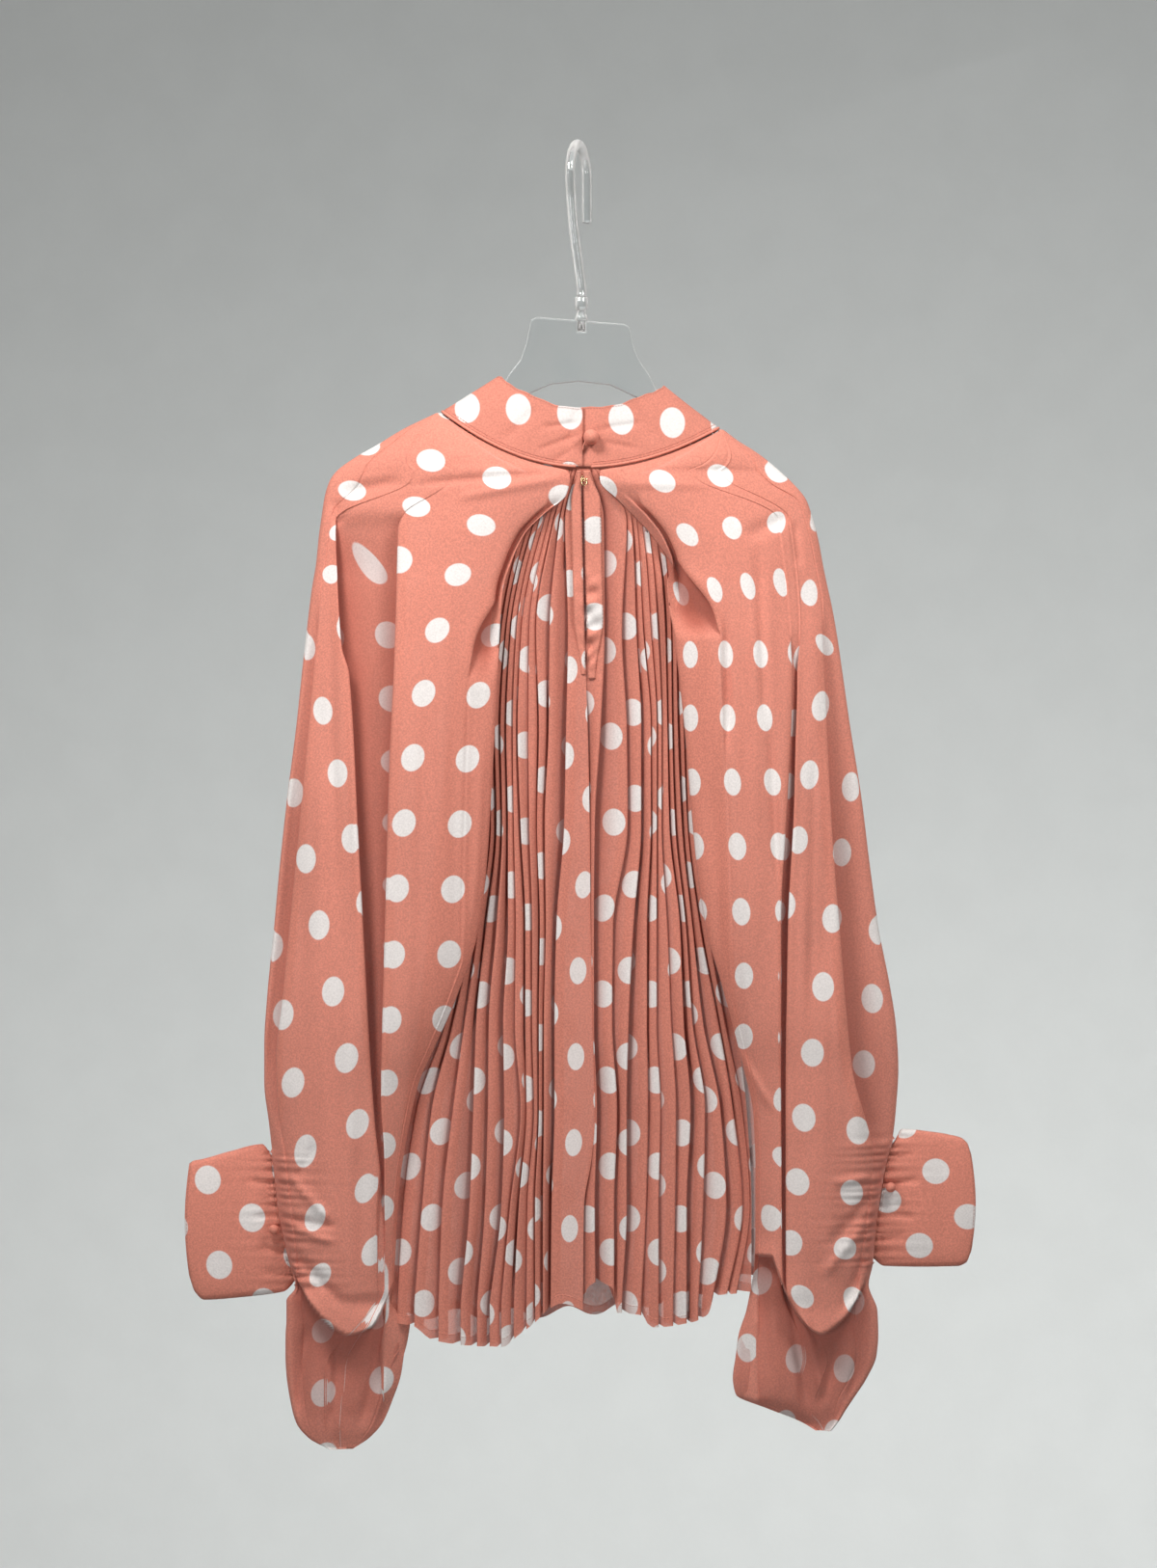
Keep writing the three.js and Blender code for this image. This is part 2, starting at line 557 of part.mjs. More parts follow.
function backPoint(side, place, z) {
  const edge = read(BODY_EDGES, side < 0 ? 'backLeft' : 'backRight', z);
  const start = CENTRE_X + side * CENTRE_GAP / 2;
  const pitch = bodyDepth('pitch', z);
  const most = Math.abs(edge - start) / pitch;
  const at = Math.min(place, most);
  const fade = smooth((most - at) / 1.2);
  const plain = z > SLIT_Z - 25 ? smooth((at * pitch - STRIP_WIDTH - STRIP_MARGIN) / 4) : 1;
  const calm = lerp(1, plain, smooth((z - SLIT_Z + 25) / 20));
  const x = start + side * at * pitch;
  const toEdge = smooth(1 - (most - at) * pitch / 26);
  const y = lerp(bodyDepth('back', z), read(BODY_EDGES, 'y', z), toEdge);
  return [x, y + pleatWave(at) * fade * calm, z];
}

function backPanel(name, side) {
  const places = [];
  for (let k = 0; k <= PLEATS; k += 1) {
    places.push(k);
    if (k < PLEATS) places.push(k + PLEAT_STEP);
  }
  const heights = [-234, -242, -256, -280, -312, -346, -381, -410, -450, -510, -580, -650, -720, -790];
  const rows = heights.map((z) => places.map((place) => backPoint(side, place, z)));
  rows.push(places.map((place) => {
    const [x] = backPoint(side, place, -850);
    return backPoint(side, place, read(BACK_HEM, 'z', x, 'x'));
  }));
  const sheet = new Sheet();
  sheet.grid(rows);
  return mesh(name, sheet.wall(), CORAL, 0.75);
}

// Strip that finishes one side of the slit, on the back panel's flat edge
function placket(name, side) {
  const shares = [0, 0.35, 0.7, 1];
  const heights = [-237.5, -256, -280, -312, -346, SLIT_Z + 4];
  const rows = heights.map((z) => shares.map((share) => {
    const at = (share * STRIP_WIDTH + STRIP_INSET) / bodyDepth('pitch', z);
    const [x, y] = backPoint(side, at, z);
    return [x, y - LAP, z];
  }));
  const sheet = new Sheet();
  sheet.grid(rows);
  return mesh(name, sheet.wall(), CORAL, 0.72);
}

function frontNeckZ(x) {
  const word = x < CENTRE_X ? 'left' : 'right';
  const share = (x - CENTRE_X) / COLLAR.seamHalf[word];
  const lowest = COLLAR.seamZ - COLLAR.frontDrop - 2 * SEAM_GAP;
  return lowest + (COLLAR.seamRise[word] + COLLAR.frontDrop) * share ** 2;
}

function frontPanel(name) {
  const heights = [-242, -256, -280, -312, -346, -368, -381, -424, -487, -557, -627, -697, -767, -800];
  const shares = Array.from({ length: 25 }, (_, i) => i / 24);
  const rows = [NECK_EDGE_Z, ...heights, FRONT_HEM.left].map((height) => shares.map((share) => {
    const left = read(BODY_EDGES, 'frontLeft', height);
    const right = read(BODY_EDGES, 'frontRight', height);
    const x = lerp(left, right, share);
    const hem = lerp(FRONT_HEM.left, FRONT_HEM.right, share ** 4);
    const z = Math.max(hem, height === NECK_EDGE_Z ? frontNeckZ(x) : height);
    const fromEdge = Math.min(x - left, right - x);
    const hold = smooth(fromEdge / 30);
    const fall = smooth((UNDERARM_Z + 60 - z) / 120);
    const fold = 3 * Math.sin(share * Math.PI * 13) * fall * hold;
    const y = lerp(read(BODY_EDGES, 'frontY', z), bodyDepth('front', z), hold) + fold;
    return [x, y, z];
  }));
  const sheet = new Sheet();
  sheet.grid(rows);
  return mesh(name, sheet.wall(), CORAL, 0.75);
}

// One point of the collar's band at an angle from the centre back and a share of its height
function collarPoint(angle, share) {
  const right = Math.sin(angle) > 0;
  const side = right ? 'right' : 'left';
  const front = Math.max(0, -Math.cos(angle));
  const half = lerp(COLLAR.seamHalf[side], COLLAR.topHalf[side], share);
  const depth = lerp(COLLAR.seamDepth, COLLAR.topDepth, share);
  const x = CENTRE_X + half * Math.sin(angle);
  const across = Math.sin(angle) ** 2;
  const rise = lerp(COLLAR.seamRise[side], COLLAR.topRise[side], share);
  const z = lerp(COLLAR.seamZ, COLLAR.topZ, share) + rise * across - COLLAR.frontDrop * front ** 2;
  return [x, -depth * Math.cos(angle), z];
}

function collarStand(name) {
  const steps = 44;
  const ends = { under: -0.072, over: Math.PI * 2 - 0.011 };
  const tucked = 0.35;
  const shares = [0.012, 0.25, 0.5, 0.75, 1];
  const rows = shares.map((share) => Array.from({ length: steps + 1 }, (_, i) => {
    const angle = lerp(ends.under, ends.over, i / steps);
    const [x, y, z] = collarPoint(angle, share);
    const under = COLLAR.lap * smooth(1 - angle / tucked);
    return [x, y + under, z];
  }));
  const sheet = new Sheet();
  sheet.grid(rows);
  return mesh(name, sheet.wall(), CORAL, 0.7);
}

function ball(name, { x, z, radius }, y) {
  const result = mesh(name, new THREE.SphereGeometry(radius, 14, 10), CORAL, 0.6);
  result.position.set(x, y, z);
  return result;
}

function neckButton(name) {
  return ball(name, NECK_BUTTON, BUTTON_SEAT - REST - NECK_BUTTON.radius);
}

function cuffButton(name, sizes) {
  return ball(name, sizes, -CUFF_HALF - CLOTH / 2 - sizes.radius);
}

// Thread loop round the foot of the neck button
function neckLoop(name) {
  const { radius, thread, y } = NECK_LOOP;
  const geometry = new THREE.TorusGeometry(radius, thread, 6, 18);
  geometry.rotateX(Math.PI / 2);
  const result = mesh(name, geometry, CORAL, 0.6);
  result.position.set(NECK_BUTTON.x, y, NECK_BUTTON.z);
  return result;
}

function neckHook(name) {
  const { radius, wire, y, z } = NECK_HOOK;
  const geometry = new THREE.TorusGeometry(radius, wire, 6, 14);
  geometry.rotateX(Math.PI / 2);
  const result = mesh(name, geometry, GOLD, 0.3, 1);
  result.position.set(CENTRE_X, y, z);
  return result;
}

// Bent rod: a leaning stem, half a turn over the rail and a straight tip
function hangerHook(name) {
  const radius = HOOK_INSIDE + HOOK_WIRE;
  const points = [new THREE.Vector3(PLATE_TOP.x, 0, -107), new THREE.Vector3(PLATE_TOP.x - 0.2, 0, -98)];
  const place = (reach, z) => {
    points.push(new THREE.Vector3(reach * Math.sin(HOOK_TURN), reach * Math.cos(HOOK_TURN), z));
  };
  place(-12, -62);
  place(-20.5, -37);
  for (let i = 0; i <= 10; i += 1) {
    const angle = Math.PI * (1.03 - 1.03 * i / 10);
    place(radius * Math.cos(angle), -HOOK_INSIDE + radius * Math.sin(angle));
  }
  place(radius, (HOOK_TIP_Z - HOOK_INSIDE) / 2);
  place(radius, HOOK_TIP_Z);
  const section = new THREE.Shape();
  section.absarc(0, 0, HOOK_WIRE, 0, Math.PI * 2);
  const geometry = new THREE.ExtrudeGeometry(section, {
    steps: 44,
    curveSegments: 5,
    extrudePath: new THREE.CatmullRomCurve3(points),
  });
  return mesh(name, geometry, CLEAR, 0.08);
}

// Turned ferrule: a cup for the rod, a waist and a pin that sits in the plate's notch
function hangerFerrule(name) {
  const top = -107.4 - PLATE_TOP.z;
  const profile = [
    [0, -NOTCH.depth + 0.6],
    [2.7, -NOTCH.depth + 0.6],
    [2.7, 0.5],
    [4.6, 0.5],
    [4.6, 3.2],
    [3.4, 5],
    [3.4, 7.5],
    [4.8, 9],
    [4.8, top],
    [0, top],
  ].map(([r, z]) => new THREE.Vector2(r, z));
  const geometry = new THREE.LatheGeometry(profile, 20);
  geometry.rotateX(Math.PI / 2);
  const result = mesh(name, geometry, CLEAR, 0.1);
  result.position.set(PLATE_TOP.x, 0, PLATE_TOP.z);
  return result;
}

function hangerPlate(name) {
  const outline = new THREE.Shape();
  const { x, z } = PLATE_TOP;
  const tilt = (at) => z - 0.08 * (at - x);
  outline.moveTo(x - NOTCH.half, tilt(x - NOTCH.half));
  outline.lineTo(-30, tilt(-30));
  outline.quadraticCurveTo(-35, -124.5, -35.5, -129);
  outline.quadraticCurveTo(-38, -150, ...PLATE_UPPER_LEFT[0]);
  PLATE_UPPER_LEFT.slice(1).forEach((point) => outline.lineTo(...point));
  PLATE_LEFT_TIP.forEach((point) => outline.lineTo(...point));
  PLATE_LOWER.forEach((point) => outline.lineTo(...point));
  PLATE_RIGHT_TIP.forEach((point) => outline.lineTo(...point));
  PLATE_UPPER_RIGHT.forEach((point) => outline.lineTo(...point));
  outline.quadraticCurveTo(40, -150, 37.5, -133);
  outline.quadraticCurveTo(37, -128, 33, tilt(33));
  outline.lineTo(x + NOTCH.half, tilt(x + NOTCH.half));
  outline.lineTo(x + NOTCH.half, z - NOTCH.depth);
  outline.lineTo(x - NOTCH.half, z - NOTCH.depth);
  const geometry = new THREE.ExtrudeGeometry(outline, {
    depth: PLATE_HALF * 2,
    bevelEnabled: false,
    curveSegments: 5,
  });
  geometry.translate(0, 0, -PLATE_HALF);
  geometry.rotateX(Math.PI / 2);
  return mesh(name, geometry, CLEAR, 0.08);
}

const blouse = new THREE.Group();
blouse.add(
  sleeve('sleeve_left', -1, LEFT_SLEEVE, LEFT_FOLD, LEFT_SWAG, LEFT_CUFF),
  sleeve('sleeve_right', 1, RIGHT_SLEEVE, RIGHT_FOLD, RIGHT_SWAG, RIGHT_CUFF),
  cuff('cuff_left', -1, LEFT_CUFF),
  cuff('cuff_right', 1, RIGHT_CUFF),
  backPanel('back_panel_left', -1),
  backPanel('back_panel_right', 1),
  placket('placket_left', -1),
  placket('placket_right', 1),
  frontPanel('front_panel'),
  collarStand('collar_stand'),
  neckButton('neck_button'),
  neckLoop('neck_loop'),
  neckHook('neck_hook'),
  cuffButton('cuff_button_left', CUFF_BUTTONS.left),
  cuffButton('cuff_button_right', CUFF_BUTTONS.right),
  hangerHook('hanger_hook'),
  hangerFerrule('hanger_ferrule'),
  hangerPlate('hanger_plate'),
);

export default blouse;
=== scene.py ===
"""Looks of a polka dot blouse on a clear hanger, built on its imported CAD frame.

Readings of the cloth are in pixels of the 1200 by 1626 picture, X to the right and Z down,
where a pixel is 0.70 mm and (600, 155) is the hook's rest. Depths are in millimetres.
"""

import math

import bmesh
import bpy
import numpy as np
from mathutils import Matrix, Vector

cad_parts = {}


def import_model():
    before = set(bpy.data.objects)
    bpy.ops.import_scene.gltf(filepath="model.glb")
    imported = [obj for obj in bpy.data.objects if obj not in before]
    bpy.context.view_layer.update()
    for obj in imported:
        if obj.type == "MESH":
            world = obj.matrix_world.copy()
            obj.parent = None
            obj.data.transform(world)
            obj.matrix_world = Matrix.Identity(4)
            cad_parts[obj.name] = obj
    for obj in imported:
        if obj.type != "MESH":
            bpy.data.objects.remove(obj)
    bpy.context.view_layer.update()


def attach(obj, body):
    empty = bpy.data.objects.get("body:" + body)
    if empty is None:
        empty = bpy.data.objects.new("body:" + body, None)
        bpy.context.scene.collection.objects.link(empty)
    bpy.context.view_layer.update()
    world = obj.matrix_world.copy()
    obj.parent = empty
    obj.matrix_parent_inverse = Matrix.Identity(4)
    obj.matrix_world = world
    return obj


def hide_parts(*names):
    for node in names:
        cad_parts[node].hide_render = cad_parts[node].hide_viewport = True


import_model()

bl_info = {
    "name": "Polka dot blouse",
    "version": (1, 0, 0),
    "blender": (4, 5, 0),
    "location": "3D View > Sidebar > Blouse",
    "description": "Builds the cloth, trims, hanger and stage of a polka dot blouse",
    "category": "Add Mesh",
}

PIXEL = 0.70
REST = (600.0, 155.0)
PITCH = 46.5                    # between dots along the cloth, mm
DOT = 19.6                      # across a dot, mm
BODY_PITCH = 44.0               # between dots along the pleated body's bias, mm
STITCH = 2.6                    # from one stitch to the next, mm
DOUBLED = 0.97                  # share of the light that doubled cloth or a printed dot stops
VIEW_ROW = 813.0                # pixel row at the picture's middle
VIEW_HEIGHT = 1.1382            # metres that the picture takes in at the blouse
UNDERARM = 699.0                # pixel row of the underarm


# Numbers and tables

def mm(px):
    """Millimetres across for a pixel column."""
    return (np.asarray(px, float) - REST[0]) * PIXEL


def up(py):
    """Millimetres of height for a pixel row."""
    return (REST[1] - np.asarray(py, float)) * PIXEL


def smooth(t):
    t = np.clip(t, 0.0, 1.0)
    return t * t * (3 - 2 * t)


def lerp(a, b, t):
    return a + (b - a) * t


def apart(a, b):
    """Distance between points."""
    return np.linalg.norm(a - b, axis=-1)


def run_across(x, y):
    """Length of cloth from the first column to each point of its row."""
    steps = np.cumsum(np.hypot(np.diff(x), np.diff(y)), axis=1)
    return np.concatenate([np.zeros((len(x), 1)), steps], axis=1)


class Table:
    """Rows of numbers under named columns, read smoothly along the first column."""

    def __init__(self, names, *rows):
        data = np.array(rows, float)
        data = data[np.argsort(data[:, 0])]
        self.keys = data[:, 0]
        self.columns = dict(zip(names.split(), data.T))

    def read(self, name, at):
        x, y = self.keys, self.columns[name]
        at = np.clip(np.asarray(at, float), x[0], x[-1])
        width = np.diff(x)
        slope = np.diff(y) / width
        tangent = np.empty_like(y)
        tangent[0], tangent[-1] = slope[0], slope[-1]
        before, after = slope[:-1], slope[1:]
        level = before * after <= 0
        total = before + after
        total[level] = 1.0
        tangent[1:-1] = np.where(level, 0.0, 2 * before * after / total)
        i = np.clip(np.searchsorted(x, at, side="right") - 1, 0, len(x) - 2)
        t = (at - x[i]) / width[i]
        h = width[i]
        return (
            (2 * t**3 - 3 * t**2 + 1) * y[i]
            + (t**3 - 2 * t**2 + t) * h * tangent[i]
            + (3 * t**2 - 2 * t**3) * y[i + 1]
            + (t**3 - t**2) * h * tangent[i + 1]
        )


def spline(stops, counts):
    """Points through every stop: stops is (rows, stops, channels), counts the steps in each span."""
    rows = []
    last = stops.shape[1] - 1
    for k, count in enumerate(counts):
        p1, p2 = stops[:, k], stops[:, k + 1]
        p0 = stops[:, k - 1] if k > 0 else 2 * p1 - p2
        p3 = stops[:, k + 2] if k + 2 <= last else 2 * p2 - p1
        for t in np.arange(count) / count:
            rows.append(0.5 * (
                2 * p1 + (p2 - p0) * t
                + (2 * p0 - 5 * p1 + 4 * p2 - p3) * t**2
                + (3 * p1 - p0 - 3 * p2 + p3) * t**3
            ))
    rows.append(stops[:, -1])
    return np.stack(rows, axis=1)


# Readings of the cloth

LEFT_RING = Table(
    "row outer inner inner_y back front",
    (429, 451, 461, -4, 2, 2),
    (445, 418, 481, -14, 4, 4),
    (462, 390, 508, -20, 5, 5),
    (476, 366, 539, -23.5, 6, 6),
    (489, 349, 588, -26.6, 6, 6),
    (499, 342, 591, -28, 6, 7),
    (515, 337, 588, -28, 6, 9),
    (534, 334, 566, -27, 7, 11),
    (555, 331, 545, -26, 8, 13),
    (584, 328, 531, -25, 9, 16),
    (614, 323, 522, -24, 11, 18),
    (655, 318, 519, -23, 13, 20),
    (699, 313, 517, -22, 15, 23),
    (755, 307, 514, -21, 17, 25),
    (826, 298, 510, -20, 19, 27),
    (899, 290, 505, -19, 20, 29),
    (964, 284, 496, -18, 21, 30),
    (1034, 277, 473, -17, 22, 30),
    (1085, 274, 451, -15, 23, 30),
    (1122, 274, 435, -13, 23, 29),
    (1165, 279, 425, -11, 23, 28),
    (1192, 282, 420, -10, 23, 27),
    (1219, 285, 416, -9, 23, 26),
    (1251, 288, 413, -8, 23, 26),
    (1291, 296, 411, -6, 23, 25),
    (1335, 306, 409, -3, 22, 24),
    (1349, 297, 409, 0, 22, 24),
    (1369, 297, 425, 0, 21, 23),
    (1386, 296, 423, 0, 19, 21),
    (1405, 296, 419, 0, 18, 19),
    (1425, 297, 416, 0, 16, 17),
    (1452, 301, 407, 0, 13, 14),
    (1475, 307, 397, 0, 9, 10),
    (1491, 320, 383, 0, 5, 5),
    (1502, 340, 366, -2, 0.5, 0.5),
)
RIGHT_RING = Table(
    "row outer inner inner_y back front",
    (446, 751, 740, -4, 2, 2),
    (458, 767, 719, -14, 4, 4),
    (466, 780, 700, -18.5, 5, 5),
    (476, 794, 674, -22, 6, 6),
    (489, 809, 621, -26.4, 6, 6),
    (501, 822, 627, -28, 6, 7),
    (518, 836, 649, -28, 6, 9),
    (538, 843, 671, -27, 7, 11),
    (561, 849, 688, -26, 8, 13),
    (588, 854, 697, -25, 9, 16),
    (607, 858, 691, -24.6, 10, 17),
    (630, 863, 693, -24, 11, 18),
    (658, 868, 698, -23, 13, 20),
    (699, 874, 703, -22, 15, 23),
    (755, 882, 709, -21, 17, 25),
    (826, 893, 715, -20, 19, 27),
    (899, 902, 722, -19, 20, 29),
    (964, 911, 732, -18, 21, 30),
    (1021, 922, 748, -17, 22, 30),
    (1069, 929, 761, -15, 23, 30),
    (1109, 931, 771, -12, 23, 29),
    (1148, 929, 780, -11, 23, 28),
    (1178, 926, 782, -10, 23, 27),
    (1206, 919, 783, -9, 23, 26),
    (1239, 913, 783, -8, 23, 26),
    (1275, 908, 783, -7, 23, 25),
    (1312, 905, 782, -5, 22, 24),
    (1332, 901, 779, -3, 22, 24),
    (1359, 910, 774, 0, 21, 22),
    (1384, 911, 766, 0, 19, 20),
    (1406, 909, 763, 0, 17, 18),
    (1429, 899, 760, 0, 14, 15),
    (1446, 888, 763, 0, 11, 12),
    (1461, 878, 797, 0, 8, 8),
    (1474, 870, 830, 0, 4, 4),
    (1483, 863, 846, -2, 0.5, 0.5),
)

# Raglan and side seams in millimetres, and the depth of the body's edge
BODY_EDGES = Table(
    "row back_left back_right front_left front_right y front_y",
    (489, -7, 15, -38, 40, -24, 22),
    (501, -8, 15.5, -40, 42, -23, 22),
    (521, -22, 29, -44, 48, -21, 21),
    (555, -43, 52, -54, 60, -17.5, 19),
    (601, -62, 74, -67, 76, -13, 15),
    (649, -77, 90, -79, 91, -10, 9),
    (681, -84, 96.5, -85, 97, -7, 3.5),
    (699, -88, 99.5, -88, 99.5, -3, -1),
    (761, -94, 104, -94, 104, -3, -1),
    (851, -101.5, 107, -101.5, 107, -3, -1),
    (951, -108, 110, -108, 110, -3, -1),
    (1051, -115, 114, -115, 117, -3, -1),
    (1151, -125, 122, -127, 130.5, -3, -1),
    (1251, -132, 125.5, -133.5, 131.5, -3, -1),
    (1398, -137.5, 125, -137.5, 126, -3, -1),
)
BODY_DEPTHS = Table(
    "row back front",
    (489, -24, 24),
    (555, -17.5, 21),
    (641, -12, 17),
    (699, -9, 15),
    (869, -8, 14),
    (1084, -7.5, 14),
    (1398, -7, 15),
)


# Shader maths

class Sock:
    """A socket with the operators that shader sums use."""

    def __init__(self, tree, socket):
        self.tree = tree
        self.socket = socket

    def _math(self, operation, *values):
        return self.tree.node("ShaderNodeMath", {"operation": operation}, *values)

    def __add__(self, other):
        return self._math("ADD", self, other)

    __radd__ = __add__

    def __sub__(self, other):
        return self._math("SUBTRACT", self, other)

    def __rsub__(self, other):
        return self._math("SUBTRACT", other, self)

    def __mul__(self, other):
        return self._math("MULTIPLY", self, other)

    __rmul__ = __mul__

    def __truediv__(self, other):
        return self._math("DIVIDE", self, other)

    def __pow__(self, other):
        return self._math("POWER", self, other)

    def far_from_whole(self):
        """Distance from the nearest whole number, with its sign."""
        return self - self._math("ROUND", self)

    def step(self, low, high, start=0.0, end=1.0):
        """A soft step of this value between low and high."""
        return self.tree.node(
            "ShaderNodeMapRange", {"interpolation_type": "SMOOTHSTEP"},
            self, low, high, start, end,
        )


class Finish:
    """A material whose node tree is written as sums."""

    def __init__(self, name):
        self.material = bpy.data.materials.new(name)
        self.material.use_nodes = True
        self.nodes = self.material.node_tree.nodes
        self.links = self.material.node_tree.links
        self.shader = self.nodes["Principled BSDF"]

    def put(self, socket, value):
        if isinstance(value, Sock):
            self.links.new(value.socket, socket)
        else:
            socket.default_value = value

    def node(self, kind, settings=None, *values, out=0, **named):
        """A new node: its settings first, then the values or links of its sockets."""
        made = self.nodes.new(kind)
        for key, value in (settings or {}).items():
            setattr(made, key, value)
        for i, value in enumerate(values):
            self.put(made.inputs[i], value)
        for key, value in named.items():
            self.put(made.inputs[key.replace("_", " ")], value)
        return Sock(self, made.outputs[out])

    def mix(self, share, first, second, blend="MIX"):
        made = self.nodes.new("ShaderNodeMix")
        made.data_type = "RGBA"
        made.blend_type = blend
        for i, value in ((0, share), (6, first), (7, second)):
            if isinstance(value, tuple) and len(value) == 3:
                value = (*value, 1)
            self.put(made.inputs[i], value)
        return Sock(self, made.outputs[2])

    def noise(self, scale, detail=2.0, roughness=0.5):
        """Noise on Object coordinates in metres."""
        place = self.node("ShaderNodeTexCoord", None, out=3)
        return self.node("ShaderNodeTexNoise", None, Vector=place, Scale=scale, Detail=detail, Roughness=roughness)

    def halves(self, layer):
        """Both numbers of a UV map."""
        split = self.node("ShaderNodeSeparateXYZ", None, self.node("ShaderNodeUVMap", {"uv_map": layer}))
        return split, Sock(self, split.socket.node.outputs[1])

    def set(self, **values):
        for key, value in values.items():
            if isinstance(value, tuple) and len(value) == 3:
                value = (*value, 1)
            self.put(self.shader.inputs[key.replace("_", " ")], value)

    def bump(self, height, distance, strength=1.0):
        normal = self.node("ShaderNodeBump", None, Strength=strength, Distance=distance, Height=height)
        self.put(self.shader.inputs["Normal"], normal)


def times(share, colour):
    """A colour made darker or lighter."""
    return tuple(share * c for c in colour)


def crepe(name, colour, dot_colour, opacity, dot_share=0.0, band=0.0, press=False, fold=0.0):
    """Thin crepe with a pebbled grain, and round dots at the whole numbers of the UV map.

    A band is a folded edge that many millimetres wide, with a row of stitches along it; a pressed one
    isn't raised. Fold is how far the attribute of that name darkens the cloth as painted shade in its folds and
    hollows.
    """
    finish = Finish(name)
    grain = finish.noise(760.0, 3.0, roughness=0.62)
    threads = finish.noise(2400.0, 1.0)
    cloud = finish.noise(9.0, 2.0)
    shade = grain.step(0.30, 0.72, 0.90, 1.06) * cloud.step(0.3, 0.7, 0.97, 1.03)
    tone = finish.mix(1.0, colour, finish.node("ShaderNodeCombineColor", None, shade, shade, shade), "MULTIPLY")
    alpha = grain.step(0.25, 0.75, opacity - 0.07, min(opacity + 0.05, 1.0))
    height = grain * 0.7 + threads * 0.3
    if dot_share:
        across, along = finish.halves("cloth")
        across, along = across.far_from_whole(), along.far_from_whole()
        distance = (across * across + along * along) ** 0.5 + (threads - 0.5) * 0.012
        dot = distance.step(dot_share - 0.012, dot_share + 0.012, 1.0, 0.0)
        white = finish.mix(grain.step(0.25, 0.8), times(0.93, dot_colour), dot_colour)
        tone = finish.mix(dot, tone, white)
        alpha = alpha + dot * (DOUBLED - opacity)
    # Painted shade: the fold attribute mixes the cloth towards a deep, dark tone of its colour where folds, hollows
    # and overhangs would lie in shade.
    if fold:
        depth = finish.node("ShaderNodeAttribute", {"attribute_name": "fold"}, out=2)
        tone = finish.mix(depth * fold, tone, tuple(c * c * 0.35 + 0.25 * c for c in colour))
    if band:
        run, inside = finish.halves("trim")
        folded = inside.step(band / 1000 - 0.0003, band / 1000 + 0.0003, 1.0, 0.0)
        offset = (inside - (band - 0.8) / 1000) * 1000
        dash = (run * 1000 / STITCH).far_from_whole()
        thread = (offset * offset).step(0.03, 0.09, 1.0, 0.0) * (dash * dash).step(0.10, 0.13, 1.0, 0.0)
        tone = finish.mix(folded * 0.16, tone, times(0.55, colour))
        tone = finish.mix(thread * 0.5, tone, times(0.5, colour))
        height = height + folded * (0.0 if press else 1.2) - thread * 1.5
        if not press:
            alpha = alpha + folded * (DOUBLED - opacity) * 0.8
    finish.set(
        Base_Color=tone, Alpha=alpha, Roughness=grain.step(0.2, 0.8, 0.72, 0.9),
        Sheen_Weight=0.12, Sheen_Roughness=0.45, Specular_IOR_Level=0.25,
    )
    finish.put(finish.shader.inputs["Sheen Tint"], (1.0, 0.86, 0.8, 1))
    finish.bump(height, 0.00035, 0.55)
    return finish.material


def thread_finish(name, colour):
    """Twisted thread, a shade darker than the cloth."""
    finish = Finish(name)
    twist = finish.noise(3000.0, 2.0)
    finish.set(
        Base_Color=finish.mix(twist.step(0.3, 0.7), times(0.85, colour), colour),
        Roughness=twist.step(0.2, 0.8, 0.5, 0.75), Sheen_Weight=0.2,
    )
    finish.bump(twist, 0.00005, 0.5)
    return finish.material


def clear_acrylic(name):
    """Clear plastic whose cut edges, which don't face the closure side, gather light: a painted highlight mixes
    them towards a white diffuse finish.
    """
    finish = Finish(name)
    haze = finish.noise(26.0, 3.0)
    finish.set(
        Base_Color=finish.mix(haze.step(0.4, 0.7), (0.98, 0.995, 0.995), (0.94, 0.97, 0.975)),
        Roughness=haze.step(0.45, 0.75, 0.015, 0.06),
        Transmission_Weight=1.0, IOR=1.49, Coat_Weight=0.6,
    )
    finish.bump(haze, 0.0002, 0.08)
    normal = finish.node("ShaderNodeNewGeometry", None, out=1)
    lean = finish.node("ShaderNodeSeparateXYZ", None, normal, out=1)
    # Painted highlight: faces turned edge-on to the closure side are mixed up to 0.42 towards a pale diffuse
    # finish.
    edge_highlight_share = (lean * lean).step(0.3, 0.85, 0.42, 0.0)
    edge_highlight = finish.node("ShaderNodeBsdfDiffuse", None, (0.95, 0.93, 0.92, 1))
    clear = Sock(finish, finish.shader.outputs[0])
    blend = finish.node("ShaderNodeMixShader", None, edge_highlight_share, clear, edge_highlight)
    finish.put(finish.nodes["Material Output"].inputs["Surface"], blend)
    return finish.material


def metal(name, colour):
    finish = Finish(name)
    scuff = finish.noise(900.0, 3.0)
    finish.set(
        Base_Color=finish.mix(scuff.step(0.4, 0.7), colour, times(0.8, colour)),
        Metallic=1.0, Roughness=scuff.step(0.3, 0.7, 0.18, 0.34),
    )
    finish.bump(scuff, 0.00005, 0.3)
    return finish.material


def painted_wall(name, colour):
    finish = Finish(name)
    trowel = finish.noise(11.0, 4.0)
    fine = finish.noise(160.0, 2.0)
    finish.set(
        Base_Color=finish.mix(trowel.step(0.3, 0.7), colour, times(0.975, colour)),
        Roughness=fine.step(0.3, 0.7, 0.75, 0.88),
    )
    finish.bump(trowel * 0.8 + fine * 0.2, 0.002, 0.25)
    return finish.material


# Meshes

def finished(obj, material, replaces=()):
    """Gives a piece its finish and ties it to the frame."""
    obj.data.materials.clear()
    obj.data.materials.append(material)
    obj.data.polygons.foreach_set("use_smooth", [True] * len(obj.data.polygons))
    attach(obj, "root")
    if replaces:
        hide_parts(*replaces)
    return obj


